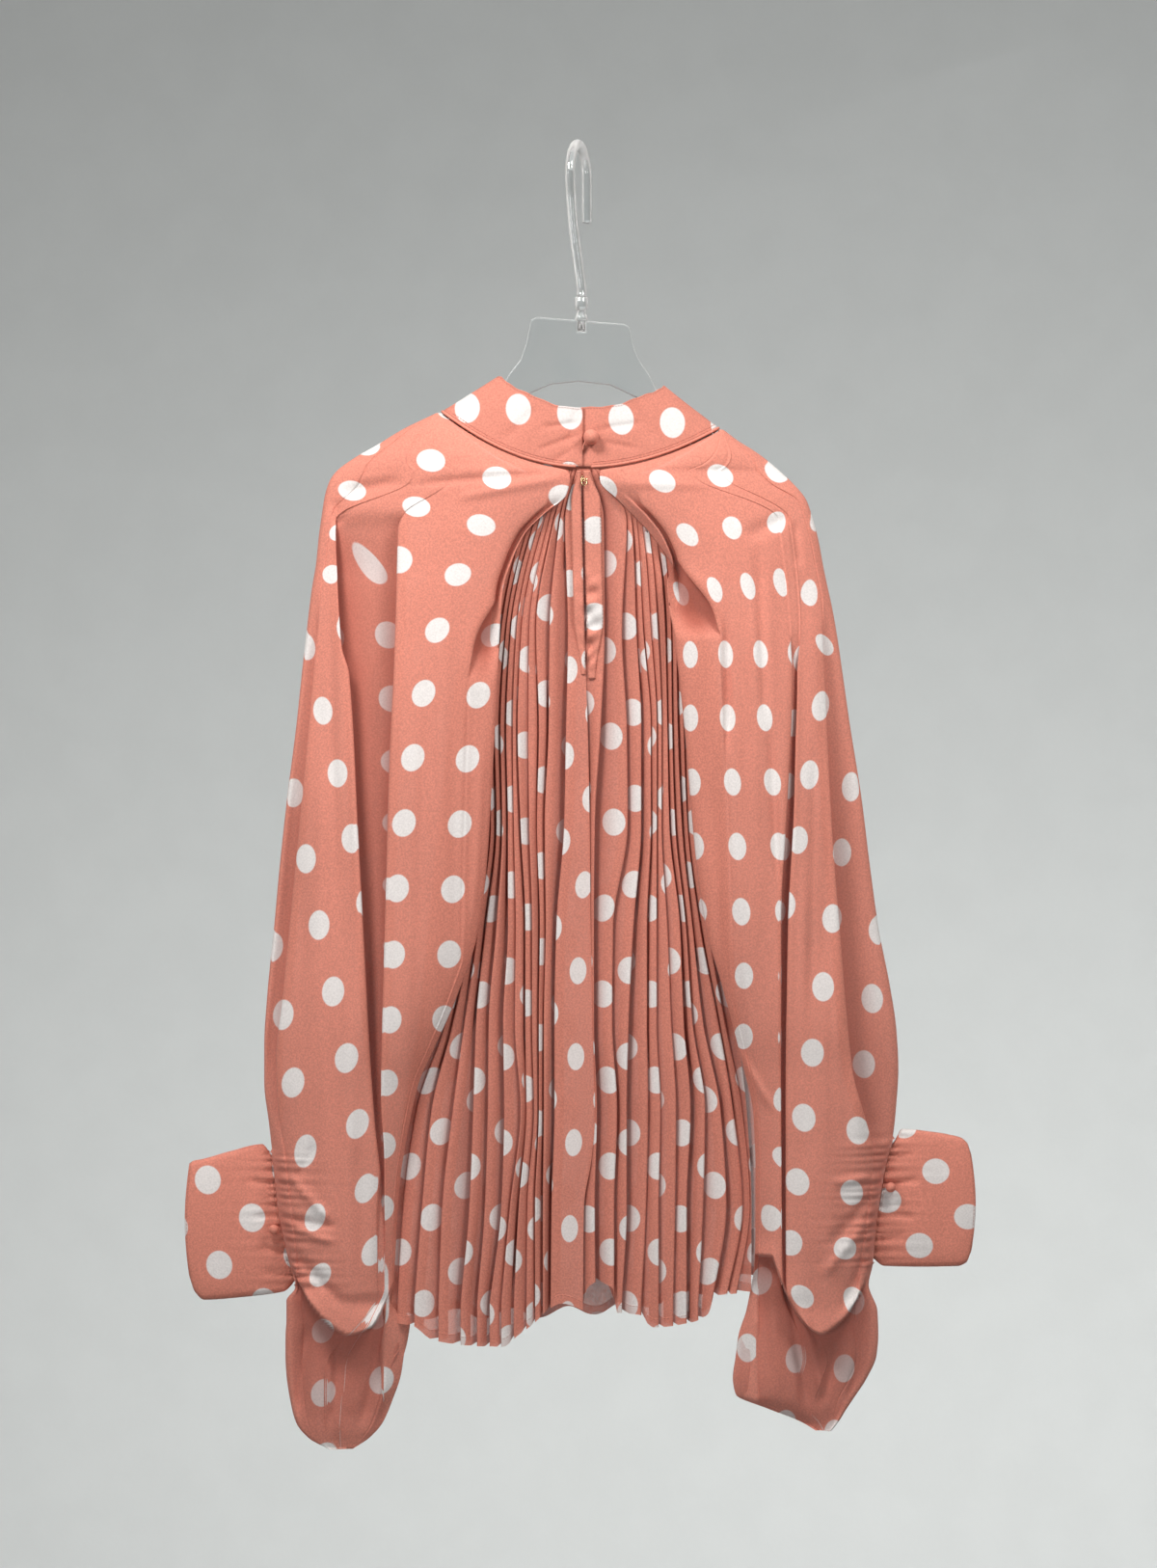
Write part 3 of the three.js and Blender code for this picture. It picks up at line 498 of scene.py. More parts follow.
def from_arrays(name, points, faces, uv=None):
    """A mesh object from points in millimetres, faces of one size and a UV for each corner."""
    mesh = bpy.data.meshes.new(name)
    faces = np.asarray(faces, np.int32)
    size = faces.shape[1]
    mesh.vertices.add(len(points))
    mesh.vertices.foreach_set("co", (np.asarray(points) / 1000).astype(np.float32).ravel())
    mesh.loops.add(faces.size)
    mesh.loops.foreach_set("vertex_index", faces.ravel())
    mesh.polygons.add(len(faces))
    mesh.polygons.foreach_set("loop_start", np.arange(0, faces.size, size, dtype=np.int32))
    mesh.update(calc_edges=True)
    if uv is not None:
        uv = np.asarray(uv, np.float32)
        uv = uv.reshape(-1, uv.shape[-1])
        layer = mesh.uv_layers.new(name="cloth")
        layer.data.foreach_set("uv", uv[:, :2].ravel())
        if uv.shape[1] > 2:
            layer = mesh.uv_layers.new(name="trim")
            layer.data.foreach_set("uv", (uv[:, 2:4] / 1000).ravel())
        # A fifth channel is painted shade and goes into the corner attribute fold.
        if uv.shape[1] > 4:
            layer = mesh.attributes.new("fold", "FLOAT", "CORNER")
            layer.data.foreach_set("value", uv[:, 4])
    mesh.validate()
    obj = bpy.data.objects.new(name, mesh)
    bpy.context.scene.collection.objects.link(obj)
    return obj


def grid_faces(rows, columns, open_cells=None):
    index = np.arange(rows * columns).reshape(rows, columns)
    faces = np.stack([index[:-1, :-1], index[:-1, 1:], index[1:, 1:], index[1:, :-1]], axis=-1)
    if open_cells is not None:
        return faces[~open_cells]
    return faces.reshape(-1, 4)


def cloth_piece(name, points, uv, facing, open_cells=None, closing=False):
    """A sheet from a grid of points, its like points joined, facing outwards.

    Open cells are left out, and closing joins the last row's two halves across.
    """
    rows, columns = points.shape[:2]
    faces = grid_faces(rows, columns, open_cells)
    flat = points.reshape(-1, 3)
    if closing:
        last = (rows - 1) * columns
        half = columns // 2
        i = np.arange(half)
        faces = np.concatenate([faces, np.stack(
            [last + i, last + i + 1, last + columns - 2 - i, last + columns - 1 - i], axis=-1)])
    key = np.round(flat * 200).astype(np.int64)
    _, first, joined = np.unique(key, axis=0, return_index=True, return_inverse=True)
    joined = joined.ravel()
    uvs = uv.reshape(-1, uv.shape[-1])[faces]
    welded = joined[faces]
    keep = (welded[:, 0] != welded[:, 2]) & (welded[:, 1] != welded[:, 3])
    same = sum((welded[:, a] == welded[:, (a + 1) % 4]).astype(int) for a in range(4))
    quads = keep & (same == 0)
    threes = keep & (same == 1)
    triangles, corner_uv = [], []
    for face, place in zip(welded[threes], uvs[threes]):
        picked = [a for a in range(4) if face[a] != face[(a + 1) % 4]]
        triangles.append(face[picked])
        corner_uv.append(place[picked])
    points_out = flat[first]
    fan = np.concatenate([welded[quads][:, [0, 1, 2]], welded[quads][:, [0, 2, 3]]])
    fan_uv = np.concatenate([uvs[quads][:, [0, 1, 2]], uvs[quads][:, [0, 2, 3]]])
    if triangles:
        fan = np.concatenate([fan, np.array(triangles)])
        fan_uv = np.concatenate([fan_uv, np.array(corner_uv)])
    a, b, c = (points_out[fan[:, i]] for i in range(3))
    normals = np.cross(b - a, c - a)
    if float((normals * facing(0.333 * (a + b + c))).sum()) < 0:
        fan, fan_uv = fan[:, ::-1], fan_uv[:, ::-1]
    return from_arrays(name, points_out, fan, fan_uv)


def to_viewer(points):
    """Faces towards the closure side, where most of a back panel shows."""
    return np.tile([0.0, -1.0, 0.0], (len(points), 1))


def to_far_side(points):
    return np.tile([0.0, 1.0, 0.0], (len(points), 1))


def from_line(points):
    """Faces away from a level line through the cloth's middle depth."""
    out = points.copy()
    out[:, 0] = 0
    out[:, 2] = 0
    return out


def crease_depth(creases, x, row):
    """Soft troughs along straight lines: x, row of both ends, half width and depth in mm."""
    total = np.zeros(np.broadcast(x, row).shape)
    for x0, r0, x1, r1, half, depth in creases:
        dx, dr = x1 - x0, r1 - r0
        length = math.hypot(dx, dr)
        along = ((x - x0) * dx + (row - r0) * dr) / length**2
        off = ((x - x0) * dr - (row - r0) * dx) / length * PIXEL
        ends = smooth((along + 0.05) / 0.3) * smooth((1.05 - along) / 0.3)
        total = total + depth * ends * np.exp(-(off / half) ** 2)
    return total


# Readings for the dots: a dot column's place and count at each row, its neighbours' distance and the rows' slope

GRAIN = "row edge count pitch slope"
LEFT_GRAIN = (
    Table(GRAIN,
          (430, 540, -1.2, 68, 0.25), (499, 516, 0, 68, 0.25), (547, 500, 1, 67, 0.27), (598, 476, 2, 60, 0.2),
          (655, 455, 3, 57, 0.08), (720, 441, 4, 56, 0.03), (786, 430, 5, 56, 0.02), (853, 421, 6, 57, 0.02),
          (920, 414, 7, 57, 0.02), (988, 410, 8, 57, 0), (1055, 407, 9, 54, 0), (1120, 403, 10, 54, 0),
          (1250, 398, 12, 54, 0), (1510, 390, 16, 54, 0)),
    Table(GRAIN,
          (430, 440, 0, 60, 0.1), (523, 389, 1, 58, 0), (593, 396, 2, 58, 0), (659, 402, 3, 58, 0),
          (725, 406, 4, 58, 0),
          (790, 408, 5, 58, 0), (853, 409, 6, 58, 0), (917, 409, 7, 58, 0), (980, 409, 8, 58, 0),
          (1045, 409, 9, 58, 0), (1510, 409, 16, 58, 0)),
    Table(GRAIN,
          (430, 262, -0.8, 58, 0.1), (500, 262, 0.3, 55, 0), (595, 258, 1.7, 42, -0.3),
          (741, 288, 3.8, 45, -0.35),
          (822, 305, 5, 47, -0.4),
          (890, 319, 6, 48, -0.4), (958, 333, 7, 50, -0.42), (1026, 348, 8, 53, -0.43),
          (1094, 362, 9, 56, -0.43),
          (1162, 373, 10, 54, -0.45), (1229, 381, 11, 52, -0.55), (1294, 388, 12, 54, -0.5),
          (1362, 392, 13, 56, -0.3),
          (1430, 396, 14, 60, -0.2), (1510, 398, 15.2, 60, -0.2)),
)
RIGHT_GRAIN = (
    Table(GRAIN,
          (440, 664, -1.1, 60, -0.1), (502, 686, 0, 60, -0.1), (557, 712, 1, 46, -0.15),
          (613, 740, 2, 34, -0.1),
          (680, 751, 3, 36, 0), (745, 753, 4, 38, 0), (811, 758, 5, 41, 0), (877, 763, 6, 43, 0),
          (944, 767, 7, 44, 0),
          (1010, 770, 8, 44, 0), (1073, 770, 9, 44, 0), (1187, 763, 10.8, 44, 0), (1260, 799, 12, 50, 0),
          (1383, 777, 13.8, 50, 0.2), (1500, 760, 15.5, 50, 0.2)),
    Table(GRAIN,
          (440, 850, -0.8, 42, 0), (550, 845, 1, 40, 0), (617, 838, 2, 40, 0), (683, 830, 3, 40, 0),
          (750, 822, 4, 44, 0), (1010, 800, 8, 44, 0), (1500, 790, 15.4, 44, 0)),
    Table(GRAIN,
          (440, 893, -0.9, 42, 0.1), (550, 887, 1, 42, 0), (617, 880, 2, 42, 0), (693, 900, 3.3, 43, 0.2),
          (758, 890, 4.2, 43, 0.25), (830, 880, 5.2, 45, 0.27), (897, 870, 6.2, 47, 0.27),
          (965, 859, 7.2, 50, 0.26), (1035, 849, 8.2, 53, 0.25), (1102, 838, 9.2, 55, 0.24),
          (1169, 830, 10.2, 56, 0.24), (1235, 824, 11.2, 56, 0.2), (1298, 817, 12.2, 56, 0.1),
          (1365, 812, 13.2, 56, 0), (1500, 806, 15.2, 56, 0)),
)

# The long folds that part a sleeve's rolls: pixel column and how far the next roll lies back, in mm
FOLD = "row edge back"
LEFT_FOLDS = (
    Table(FOLD, (489, 590, 0), (515, 585, 1), (552, 549, 7), (614, 521, 9), (665, 494, 8),
          (690, 490, 3), (715, 488, 0), (1510, 470, 0)),
    Table(FOLD, (489, 430, 0), (529, 420, 0), (552, 414, 6), (600, 413, 13), (700, 410, 15), (784, 406, 16),
          (924, 402, 16), (1037, 399, 14), (1138, 397, 9), (1200, 400, 5), (1290, 400, 0), (1510, 392, 0)),
    Table(FOLD, (489, 352, 0), (520, 349, 0), (552, 349, 6), (600, 351, 12), (671, 356, 15), (700, 364, 15),
          (868, 374, 16), (995, 381, 16), (1093, 386, 14), (1165, 391, 10), (1230, 397, 7), (1310, 398, 2),
          (1510, 388, 0)),
    Table(FOLD, (489, 345, 0), (600, 334, 0), (700, 326, 4), (812, 316, 6), (924, 305, 8), (1037, 294, 8),
          (1093, 288, 7), (1150, 290, 4), (1190, 296, 0), (1510, 330, 0)),
)
RIGHT_FOLDS = (
    Table(FOLD, (489, 626, 0), (515, 646, 2), (544, 676, 7), (593, 708, 10), (635, 738, 9), (650, 742, 5),
          (665, 745, 0), (1500, 770, 0)),
    Table(FOLD, (489, 800, 0), (650, 818, 0), (700, 820, 5), (840, 814, 9), (952, 808, 10), (1065, 808, 9),
          (1200, 809, 8), (1320, 810, 5), (1400, 815, 0), (1500, 830, 0)),
    Table(FOLD, (489, 812, 0), (650, 828, 0), (700, 825, 5), (840, 821, 9), (952, 815, 10), (1065, 813, 9),
          (1200, 811, 8), (1320, 812, 5), (1400, 820, 0), (1500, 838, 0)),
    Table(FOLD, (489, 845, 0), (620, 852, 0), (700, 854, 4), (840, 860, 8), (952, 868, 9), (1107, 882, 10),
          (1160, 896, 8), (1195, 905, 2), (1250, 900, 0), (1500, 858, 0)),
)

# Creases listed one by one: x and row of both ends, half width and depth in millimetres (a negative depth stands
# proud)
LEFT_CREASES = (
    (585, 492, 425, 505, 2.6, 2.2), (560, 487, 440, 470, 3.0, 2.4), (540, 480, 470, 462, 2.4, 1.8),
    (588, 497, 470, 520, 3.4, -1.8), (560, 489, 400, 488, 3.0, -1.8),
    (352, 513, 420, 500, 5.0, 3.0), (350, 516, 352, 548, 3.5, 3.0),
    (455, 700, 470, 1000, 5.0, -1.6), (440, 760, 432, 1060, 3.0, 1.4), (490, 700, 486, 960, 4.0, 1.8),
    (505, 740, 492, 960, 3.0, -1.5), (345, 640, 352, 980, 3.4, 1.8), (335, 760, 330, 1100, 3.0, -1.6),
    (318, 900, 312, 1170, 3.4, 1.5), (360, 980, 368, 1230, 3.0, -1.4), (345, 1040, 352, 1290, 3.6, 1.5),
    (300, 1215, 345, 1262, 3.2, -2.6), (300, 1262, 352, 1268, 2.6, 2.4), (300, 1268, 350, 1285, 3.0, -2.4),
    (302, 1292, 360, 1352, 4.0, 3.2), (312, 1330, 345, 1385, 3.6, -2.2), (330, 1180, 300, 1240, 3.0, 1.6),
    (372, 1180, 380, 1310, 3.4, 1.6), (318, 1370, 308, 1470, 5.0, 4.5), (340, 1400, 352, 1490, 3.4, -2.2),
    (352, 1390, 345, 1480, 3.0, 2.2), (398, 1380, 375, 1480, 4.0, 3.0), (415, 1380, 392, 1470, 3.6, -2.0),
)
RIGHT_CREASES = (
    (625, 497, 720, 470, 2.6, 1.6), (640, 505, 740, 505, 3.0, -1.4), (820, 535, 770, 560, 5.0, 2.6),
    (822, 540, 828, 590, 3.5, 2.0), (752, 640, 754, 780, 2.6, 3.2), (746, 640, 746, 800, 3.0, -1.8),
    (785, 560, 793, 760, 3.2, 3.0), (796, 740, 806, 930, 2.6, 2.6), (778, 600, 782, 880, 3.6, -1.6),
    (735, 800, 748, 1010, 4.0, 1.4), (762, 860, 776, 1100, 3.2, -1.4), (843, 760, 838, 1050, 3.4, 1.5),
    (832, 900, 826, 1180, 3.4, -1.5), (858, 1000, 862, 1230, 3.6, 1.4), (875, 720, 892, 1000, 3.2, 1.8),
    (760, 1080, 800, 1150, 3.2, -2.0), (905, 1235, 855, 1290, 3.4, 2.6), (900, 1262, 850, 1320, 3.4, -2.6),
    (900, 1290, 870, 1360, 3.6, 3.0), (905, 1215, 860, 1225, 3.0, -1.8), (818, 1340, 838, 1470, 4.0, 3.6),
    (830, 1350, 858, 1465, 3.4, -2.6), (905, 1345, 880, 1455, 3.6, 2.4), (790, 1330, 800, 1440, 3.6, 1.6),
    (870, 1390, 850, 1460, 3.4, 2.4), (845, 1180, 840, 1330, 3.6, -1.4),
)

LEFT_CUFF_SEAM = Table("row edge", (1195, 282), (1219, 285), (1251, 288), (1291, 296), (1332, 307))
RIGHT_CUFF_SEAM = Table("row edge", (1181, 926), (1206, 919), (1239, 913), (1275, 908), (1309, 905))
# Lower edge of the pouch that each sleeve drops from its cuff
LEFT_POUCH = Table("edge row", (296, 1292), (312, 1330), (335, 1362), (362, 1381), (385, 1374), (402, 1345),
      (412, 1320))
RIGHT_POUCH = Table("edge row", (800, 1300), (815, 1340), (832, 1368), (850, 1380), (872, 1366),
      (890, 1340), (905, 1310))

COLLAR = {
    "seam_half": (103.4, 98.2), "top_half": (62.0, 58.3), "seam_z": -232.4, "seam_rise": (42.0, 30.0),
    "top_z": -189.0, "top_rise": (24.5, 17.0), "seam_depth": 26.0, "top_depth": 20.0, "front_drop": 7.0, "lap": 2.3,
}
CENTRE = 4.0
NECK_ROW = 490.0                # pixel row of the sleeves' lowest neck edge


def neck_edge(side, z, facing):
    """Where a sleeve meets the collar's seam at a height, at the back (-1) or the front (1)."""
    word = 0 if side < 0 else 1
    drop = COLLAR["front_drop"] if facing > 0 else 0.0
    lowest = COLLAR["seam_z"] - drop - 2.0
    climbed = (z - lowest) / (COLLAR["seam_rise"][word] + drop)
    least = 0.37**2 if facing > 0 else 0.006
    share = np.sqrt(np.clip(climbed, least, 0.985))
    y = facing * (COLLAR["seam_depth"] + 0.6) * np.sqrt(1 - share * share)
    return CENTRE + side * COLLAR["seam_half"][word] * share, y


def grain_at(table, x, row):
    """Dot count across and along at a place on the cloth."""
    slope, edge = table.read("slope", row), table.read("edge", row)
    level = row - slope * (x - edge)
    edge = table.read("edge", level)
    across = (x - edge) / table.read("pitch", level)
    first, last = table.keys[0], table.keys[-1]
    beyond = np.where(level < first, level - first, np.where(level > last, level - last, 0.0)) / 66.5
    return across, table.read("count", level) + beyond


class SleeveSide:
    """One sleeve's readings and the sum that turns them into rings of cloth."""

    def __init__(self, side, ring, folds, grain, creases, seam, pouch, middles, lowest):
        self.side = side
        self.ring = ring
        self.folds = folds
        self.grain = grain
        self.creases = creases
        self.seam = seam
        self.pouch = pouch
        self.middles = middles      # pixel column inside each roll
        self.lowest = lowest        # roll whose grain runs on into the pouch

    def rows(self):
        top, first, last, foot = (
            self.ring.keys[0], self.seam.keys[0], self.seam.keys[-1], self.ring.keys[-1])
        return np.concatenate([
            np.linspace(top, NECK_ROW, 26)[:-1],
            np.linspace(NECK_ROW, first, 210)[:-1],
            np.linspace(first, last, 78)[:-1],
            np.linspace(last, foot, 74),
        ])

    def seams(self, row, inner):
        z = up(row)
        word = "left" if self.side < 0 else "right"
        back = BODY_EDGES.read("back_" + word, row)
        front = BODY_EDGES.read("front_" + word, row)
        over_strip = 1 + smooth((z + 275) / 20)
        start_x, start_y = back, BODY_EDGES.read("y", row) - 2.0 * over_strip
        end_x, end_y = front, BODY_EDGES.read("front_y", row) + 3.0
        beside = np.maximum(np.abs(back) + 3.5, np.abs(inner) + 6)
        over_body = smooth((np.abs(back) + 3.5 - np.abs(inner)) / 10)
        low_x, low_y = self.side * beside, lerp(2.0, -9.0, over_body)
        below = row >= UNDERARM
        start_x, start_y = np.where(below, low_x, start_x), np.where(below, low_y, start_y)
        end_x, end_y = np.where(below, low_x, end_x), np.where(below, low_y, end_y)
        high = row < NECK_ROW
        back_x, back_y = neck_edge(self.side, z, -1)
        front_x, front_y = neck_edge(self.side, z, 1)
        return (
            (np.where(high, back_x, start_x), np.where(high, back_y, start_y)),
            (np.where(high, front_x, end_x), np.where(high, front_y, end_y)),
        )

    def grain_of(self, roll, x, row):
        """Dot counts on a roll, which run on without a break above and below the folds."""
        px = REST[0] + x / PIXEL
        row = np.asarray(row, float)

        def counts(number, px, row):
            return np.stack(grain_at(self.grain[number], px, row))

        def whole(number, other, row):
            here = np.array([self.middles[roll]], float), np.array([row])
            return np.round(counts(other, *here) - counts(number, *here))[:, 0, None]

        own = counts(roll, px, row) + whole(roll, 0, 545.0)
        own = lerp(counts(0, px, row), own, smooth((row - 520) / 100))
        to_low = whole(roll, self.lowest, 1340.0) - whole(roll, 0, 545.0)
        low = counts(self.lowest, px, row) - to_low
        return lerp(own, low, smooth((row - 1290) / 80))

    def build(self, name):
        side, row = self.side, self.rows()
        z = up(row)
        outer = mm(self.ring.read("outer", row))
        first, last = self.seam.keys[0], self.seam.keys[-1]
        at_seam = (row >= first) & (row <= last)
        outer = np.where(at_seam, mm(self.seam.read("edge", row)) + side * 1.5, outer)
        inner = mm(self.ring.read("inner", row))
        inner_y = self.ring.read("inner_y", row)
        back, front = self.ring.read("back", row), self.ring.read("front", row)
        start, end = self.seams(row, inner)
        high = row < NECK_ROW
        inner, inner_y = np.where(high, start[0], inner), np.where(high, start[1], inner_y)
        edge = outer - side * 1.5
        width = side * (edge - inner)

        def base(share):
            bulge = back * np.sin(np.pi * np.clip(share, 0, 0.985)) ** 0.6
            return lerp(inner_y, -5.0, share**2) - bulge

        calm = smooth((row - 500) / 40)
        rest = (0.12, 0.5, 0.66, 0.88)
        shares, depths = [], []
        for k, table in enumerate(self.folds):
            read = side * (mm(table.read("edge", row)) - inner) / width
            low_end = smooth((row - 1330) / 90)
            read = lerp(lerp(rest[k], read, calm), rest[k], low_end)
            shares.append(np.clip(read, 0.035 + 0.06 * k, 0.90 + 0.02 * k))
            depths.append(table.read("back", row) * calm)
        for k in range(1, 4):
            shares[k] = np.maximum(shares[k], shares[k - 1] + 0.03)
        levels = [depths[0], np.zeros_like(row), 0.5 * (depths[1] + depths[2]), np.zeros_like(row), depths[3]]
        rolls = [0, 0, 1, 2, 2]
        inside = ([0.3, 0.65], [0.05, 0.12, 0.25, 0.4, 0.55, 0.7, 0.84, 0.94], [0.3, 0.7],
                  [0.06, 0.16, 0.34, 0.52, 0.7, 0.86, 0.95], [0.5])
        stops, counts = [], []

        # A stop's last number is painted shade, which the material turns into darker cloth.
        def put(x, y, roll, steps, after=None, painted_shade=0.0):
            across, along = self.grain_of(roll, x, row)
            if after is not None:
                across2, along2 = self.grain_of(after, x, row)
                across, along = 0.5 * (across + across2), 0.5 * (along + along2)
            stops.append(np.stack([x, y, across, along, painted_shade + 0 * row], axis=-1))
            counts.append(steps)

        put(*start, 0, 3)
        put(lerp(start[0], inner, 0.55), lerp(start[1], inner_y, 0.5), 0, 3)
        put(inner, inner_y, 0, 3)
        bounds = [np.zeros_like(row), *shares, np.ones_like(row)]
        for k in range(5):
            for part in inside[k]:
                share = lerp(bounds[k], bounds[k + 1], part)
                # Painted shade: a roll is darkened by how far it lies back behind its neighbours.
                own_painted_shade = levels[k] / (7 if k == 0 else 26) * (0.5 + part)
                put(inner + side * share * width, base(share) + levels[k], rolls[k], 3, painted_shade=own_painted_shade)
            if k == 4:
                break
            share = bounds[k + 1]
            x, y = inner + side * share * width, base(share)
            low, high_level = levels[k], levels[k + 1]
            drop = np.abs(low - high_level)
            active = smooth(drop / 5)
            room = np.minimum(bounds[k + 1] - bounds[k], bounds[k + 2] - bounds[k + 1]) * width
            tuck = np.minimum(6.0, 0.45 * room)
            gap = np.minimum(1.2, 0.1 * room)
            into_near = k in (0, 2)
            if into_near:
                offsets = (lerp(-gap, tuck, active), lerp(0, 0.6 * tuck + 1, active), lerp(gap, 0, active))
                parts = (0.0, 0.5, 0.85)
            else:
                offsets = (lerp(-gap, 0, active), lerp(0, -0.6 * tuck - 1, active), lerp(gap, -tuck, active))
                parts = (0.15, 0.5, 1.0)
            across = ((rolls[k], None), (rolls[k], rolls[k + 1]), (rolls[k + 1], None))
            for offset, part, roll in zip(offsets, parts, across):
                place = y + lerp(low, high_level, part)
                # Painted shade on the tucked parts of each fold, darker the deeper the fold.
                hidden = part < 0.8 if into_near else part > 0.3
                put(x + side * offset, place, roll[0], 2, roll[1], np.maximum(low, high_level) / 11 * hidden)
        put(edge, -5.0 + 0 * row, 2, 2)
        back_stops = len(stops) - 1
        edge_across, edge_along = self.grain_of(2, edge, row)

        def far(x, y, steps):
            across = edge_across + side * (np.abs(edge - x) + 6) / PITCH
            stops.append(np.stack([x, y, across, edge_along, 0 * row], axis=-1))
            counts.append(steps)

        far(outer, 0 * row, 2)
        far(edge, 5.0 + 0 * row, 3)
        for share in (0.12, 0.26, 0.4, 0.55, 0.7, 0.85):
            bulge = front * np.sin(np.pi * share) ** 0.6
            x = lerp(edge, end[0], share)
            far(x, lerp(5.0, end[1], share**2) + bulge, 4)
        far(*end, 0)
        grid = spline(np.stack(stops, axis=1), counts[:-1])
        columns = grid.shape[1]
        reach = np.concatenate([[0], np.cumsum(counts[:-1])])
        edge_column, front_column = reach[back_stops], reach[back_stops + 2]
        x, y = grid[..., 0], grid[..., 1]
        number = np.arange(columns)[None, :]
        wide_row = row[:, None]
        px = REST[0] + x / PIXEL
        facing = smooth((number - reach[2]) / 4) * smooth((edge_column - number) / 4)
        away = smooth((number - front_column) / 5) * smooth((columns - 1 - number) / 5)
        y = y + facing * crease_depth(self.creases, px, wide_row) * smooth((wide_row - 486) / 20 + 0.3)
        line = self.pouch.read("row", px)
        past = (wide_row - line) * PIXEL
        lower = smooth((wide_row - 1270) / 30) * smooth((1502 - wide_row) / 40)
        hang = np.where(past < 0, -5.0 * np.exp(past / 14.0), -5.0)
        step = smooth((past + 1.5) / 3.5) * 15.0 * np.exp(-np.clip(past, 0, None) / 42.0)
        tail = np.where(past > 0, 5.0 * smooth(past / 30), 0.0)
        y = y + facing * lower * (hang + step + tail)
        from_seam = np.abs(px - self.seam.read("edge", np.clip(wide_row, first, last))) * PIXEL
        beside = smooth((wide_row - first + 14) / 14) * smooth((last + 14 - wide_row) / 14)
        phase = z[:, None] * 2 * np.pi
        pucker = np.sin(phase / 6.3 + 1.4 * np.sin(phase / 27)) + 0.6 * np.sin(phase / 10.9 + 0.7)
        y = y + (facing - away) * beside * 1.9 * pucker * np.exp(-from_seam / 12.0)
        long_waves = np.sin(px * 0.115 + np.sin(wide_row * 0.012) * 2)
        long_waves = long_waves + 0.6 * np.sin(px * 0.23 + wide_row * 0.006 + 1)
        falling = smooth((wide_row - 560) / 120)
        y = y + facing * 0.7 * long_waves * falling - away * 2.2 * long_waves * falling
        points = np.stack([x, y, np.broadcast_to(z[:, None], x.shape)], axis=-1)
        # Painted shade: the cloth just below the pouch's overhang, the gathers beside the cuff seam and the pouch
        # below its line are darkened as if in shadow.
        under = lower * smooth((past + 1) / 4) * np.exp(-np.clip(past, 0, None) / 34.0)
        gathered = beside * np.exp(-from_seam / 7.0) * (0.5 - 0.32 * pucker)
        painted_shade = np.clip(grid[..., 4] + 0.95 * under + gathered + 0.3 * lower * smooth(past / 4), 0, 1) * facing
        seam = np.minimum(apart(points, points[:, :1]), apart(points, points[:, -1:]))
        uv = np.concatenate([grid[..., 2:4], np.stack([0 * x + z[:, None], seam, painted_shade], axis=-1)], axis=-1)
        cells = np.zeros((len(row) - 1, columns - 1), bool)
        seam_rows = at_seam[:-1] & at_seam[1:]
        cells[np.ix_(seam_rows, np.arange(edge_column, front_column))] = True
        return cloth_piece(name, points, uv, open_cells=cells, closing=True, facing=from_line)


LEFT = SleeveSide(
    -1, LEFT_RING, LEFT_FOLDS, LEFT_GRAIN, LEFT_CREASES, LEFT_CUFF_SEAM, LEFT_POUCH, (450, 385, 335), 2)
RIGHT = SleeveSide(
    1, RIGHT_RING, RIGHT_FOLDS, RIGHT_GRAIN, RIGHT_CREASES, RIGHT_CUFF_SEAM, RIGHT_POUCH, (760, 812, 850), 0)


# Pleats of the back, from the centre outwards: x of each fold edge at these pixel rows, then the cloth's
# count in millimetres at the edge and how deep the fold lies back, as a share of the pleat depth

PLEAT_ROWS = (489, 540, 655, 755, 855, 960, 1060, 1150, 1250, 1350)
LEFT_PLEATS = (
    ((598, 586, 589, 587, 585, 577, 575, 575, 572, 571), -29, 1.3),
    ((594, 581, 570, 569, 565, 566, 564, 564, 563, 563), -50, 0.8),
    ((591, 575, 556, 559, 557, 560, 559, 559, 555, 555), -66, 0.6),
    ((588, 570, 549, 548, 549, 552, 552, 554, 547, 546), -80, 0.5),
    ((585, 565, 541, 537, 540, 545, 545, 546, 538, 533), -97, 0.7),
    ((582, 560, 536, 532, 533, 535, 534, 540, 529, 520), -110, 0.5),
    ((579, 555, 530, 525, 527, 527, 522, 523, 520, 508), -128, 1.1),
    ((576, 550, 525, 519, 521, 515, 507, 506, 503, 495), -146, 1.0),
    ((573, 545, 520, 513, 515, 504, 494, 491, 487, 478), -160, 1.1),
    ((570, 540, 514, 508, 509, 496, 482, 470, 459, 455), -181, 0.7),
    ((567, 535, 508, 503, 503, 490, 470, 448, 438, 430), -203, 0.9),
    ((564, 530, 502, 498, 497, 484, 462, 432, 418, 412), -226, 0.6),
)
RIGHT_PLEATS = (
    ((612, 626, 627, 623, 617, 616, 616, 619, 617, 618), 13, 1.2),
    ((617, 650, 645, 650, 651, 636, 635, 640, 637, 637), 42, 0.8),
    ((621, 655, 660, 665, 665, 657, 652, 650, 650, 645), 66, 1.1),
    ((625, 660, 667, 675, 675, 671, 671, 672, 670, 665), 84, 0.6),
    ((629, 665, 675, 681, 681, 681, 681, 685, 683, 683), 101, 0.5),
    ((633, 671, 682, 686, 686, 692, 696, 701, 700, 698), 118, 0.5),
    ((637, 677, 690, 692, 694, 705, 709, 716, 712, 712), 137, 1.3),
    ((641, 684, 696, 697, 700, 711, 718, 731, 729, 724), 158, 0.8),
    ((645, 690, 701, 703, 707, 718, 729, 747, 753, 738), 172, 1.0),
    ((649, 696, 706, 709, 713, 726, 745, 760, 770, 752), 191, 0.6),
    ((653, 702, 711, 715, 719, 734, 752, 770, 778, 762), 214, 0.6),
)
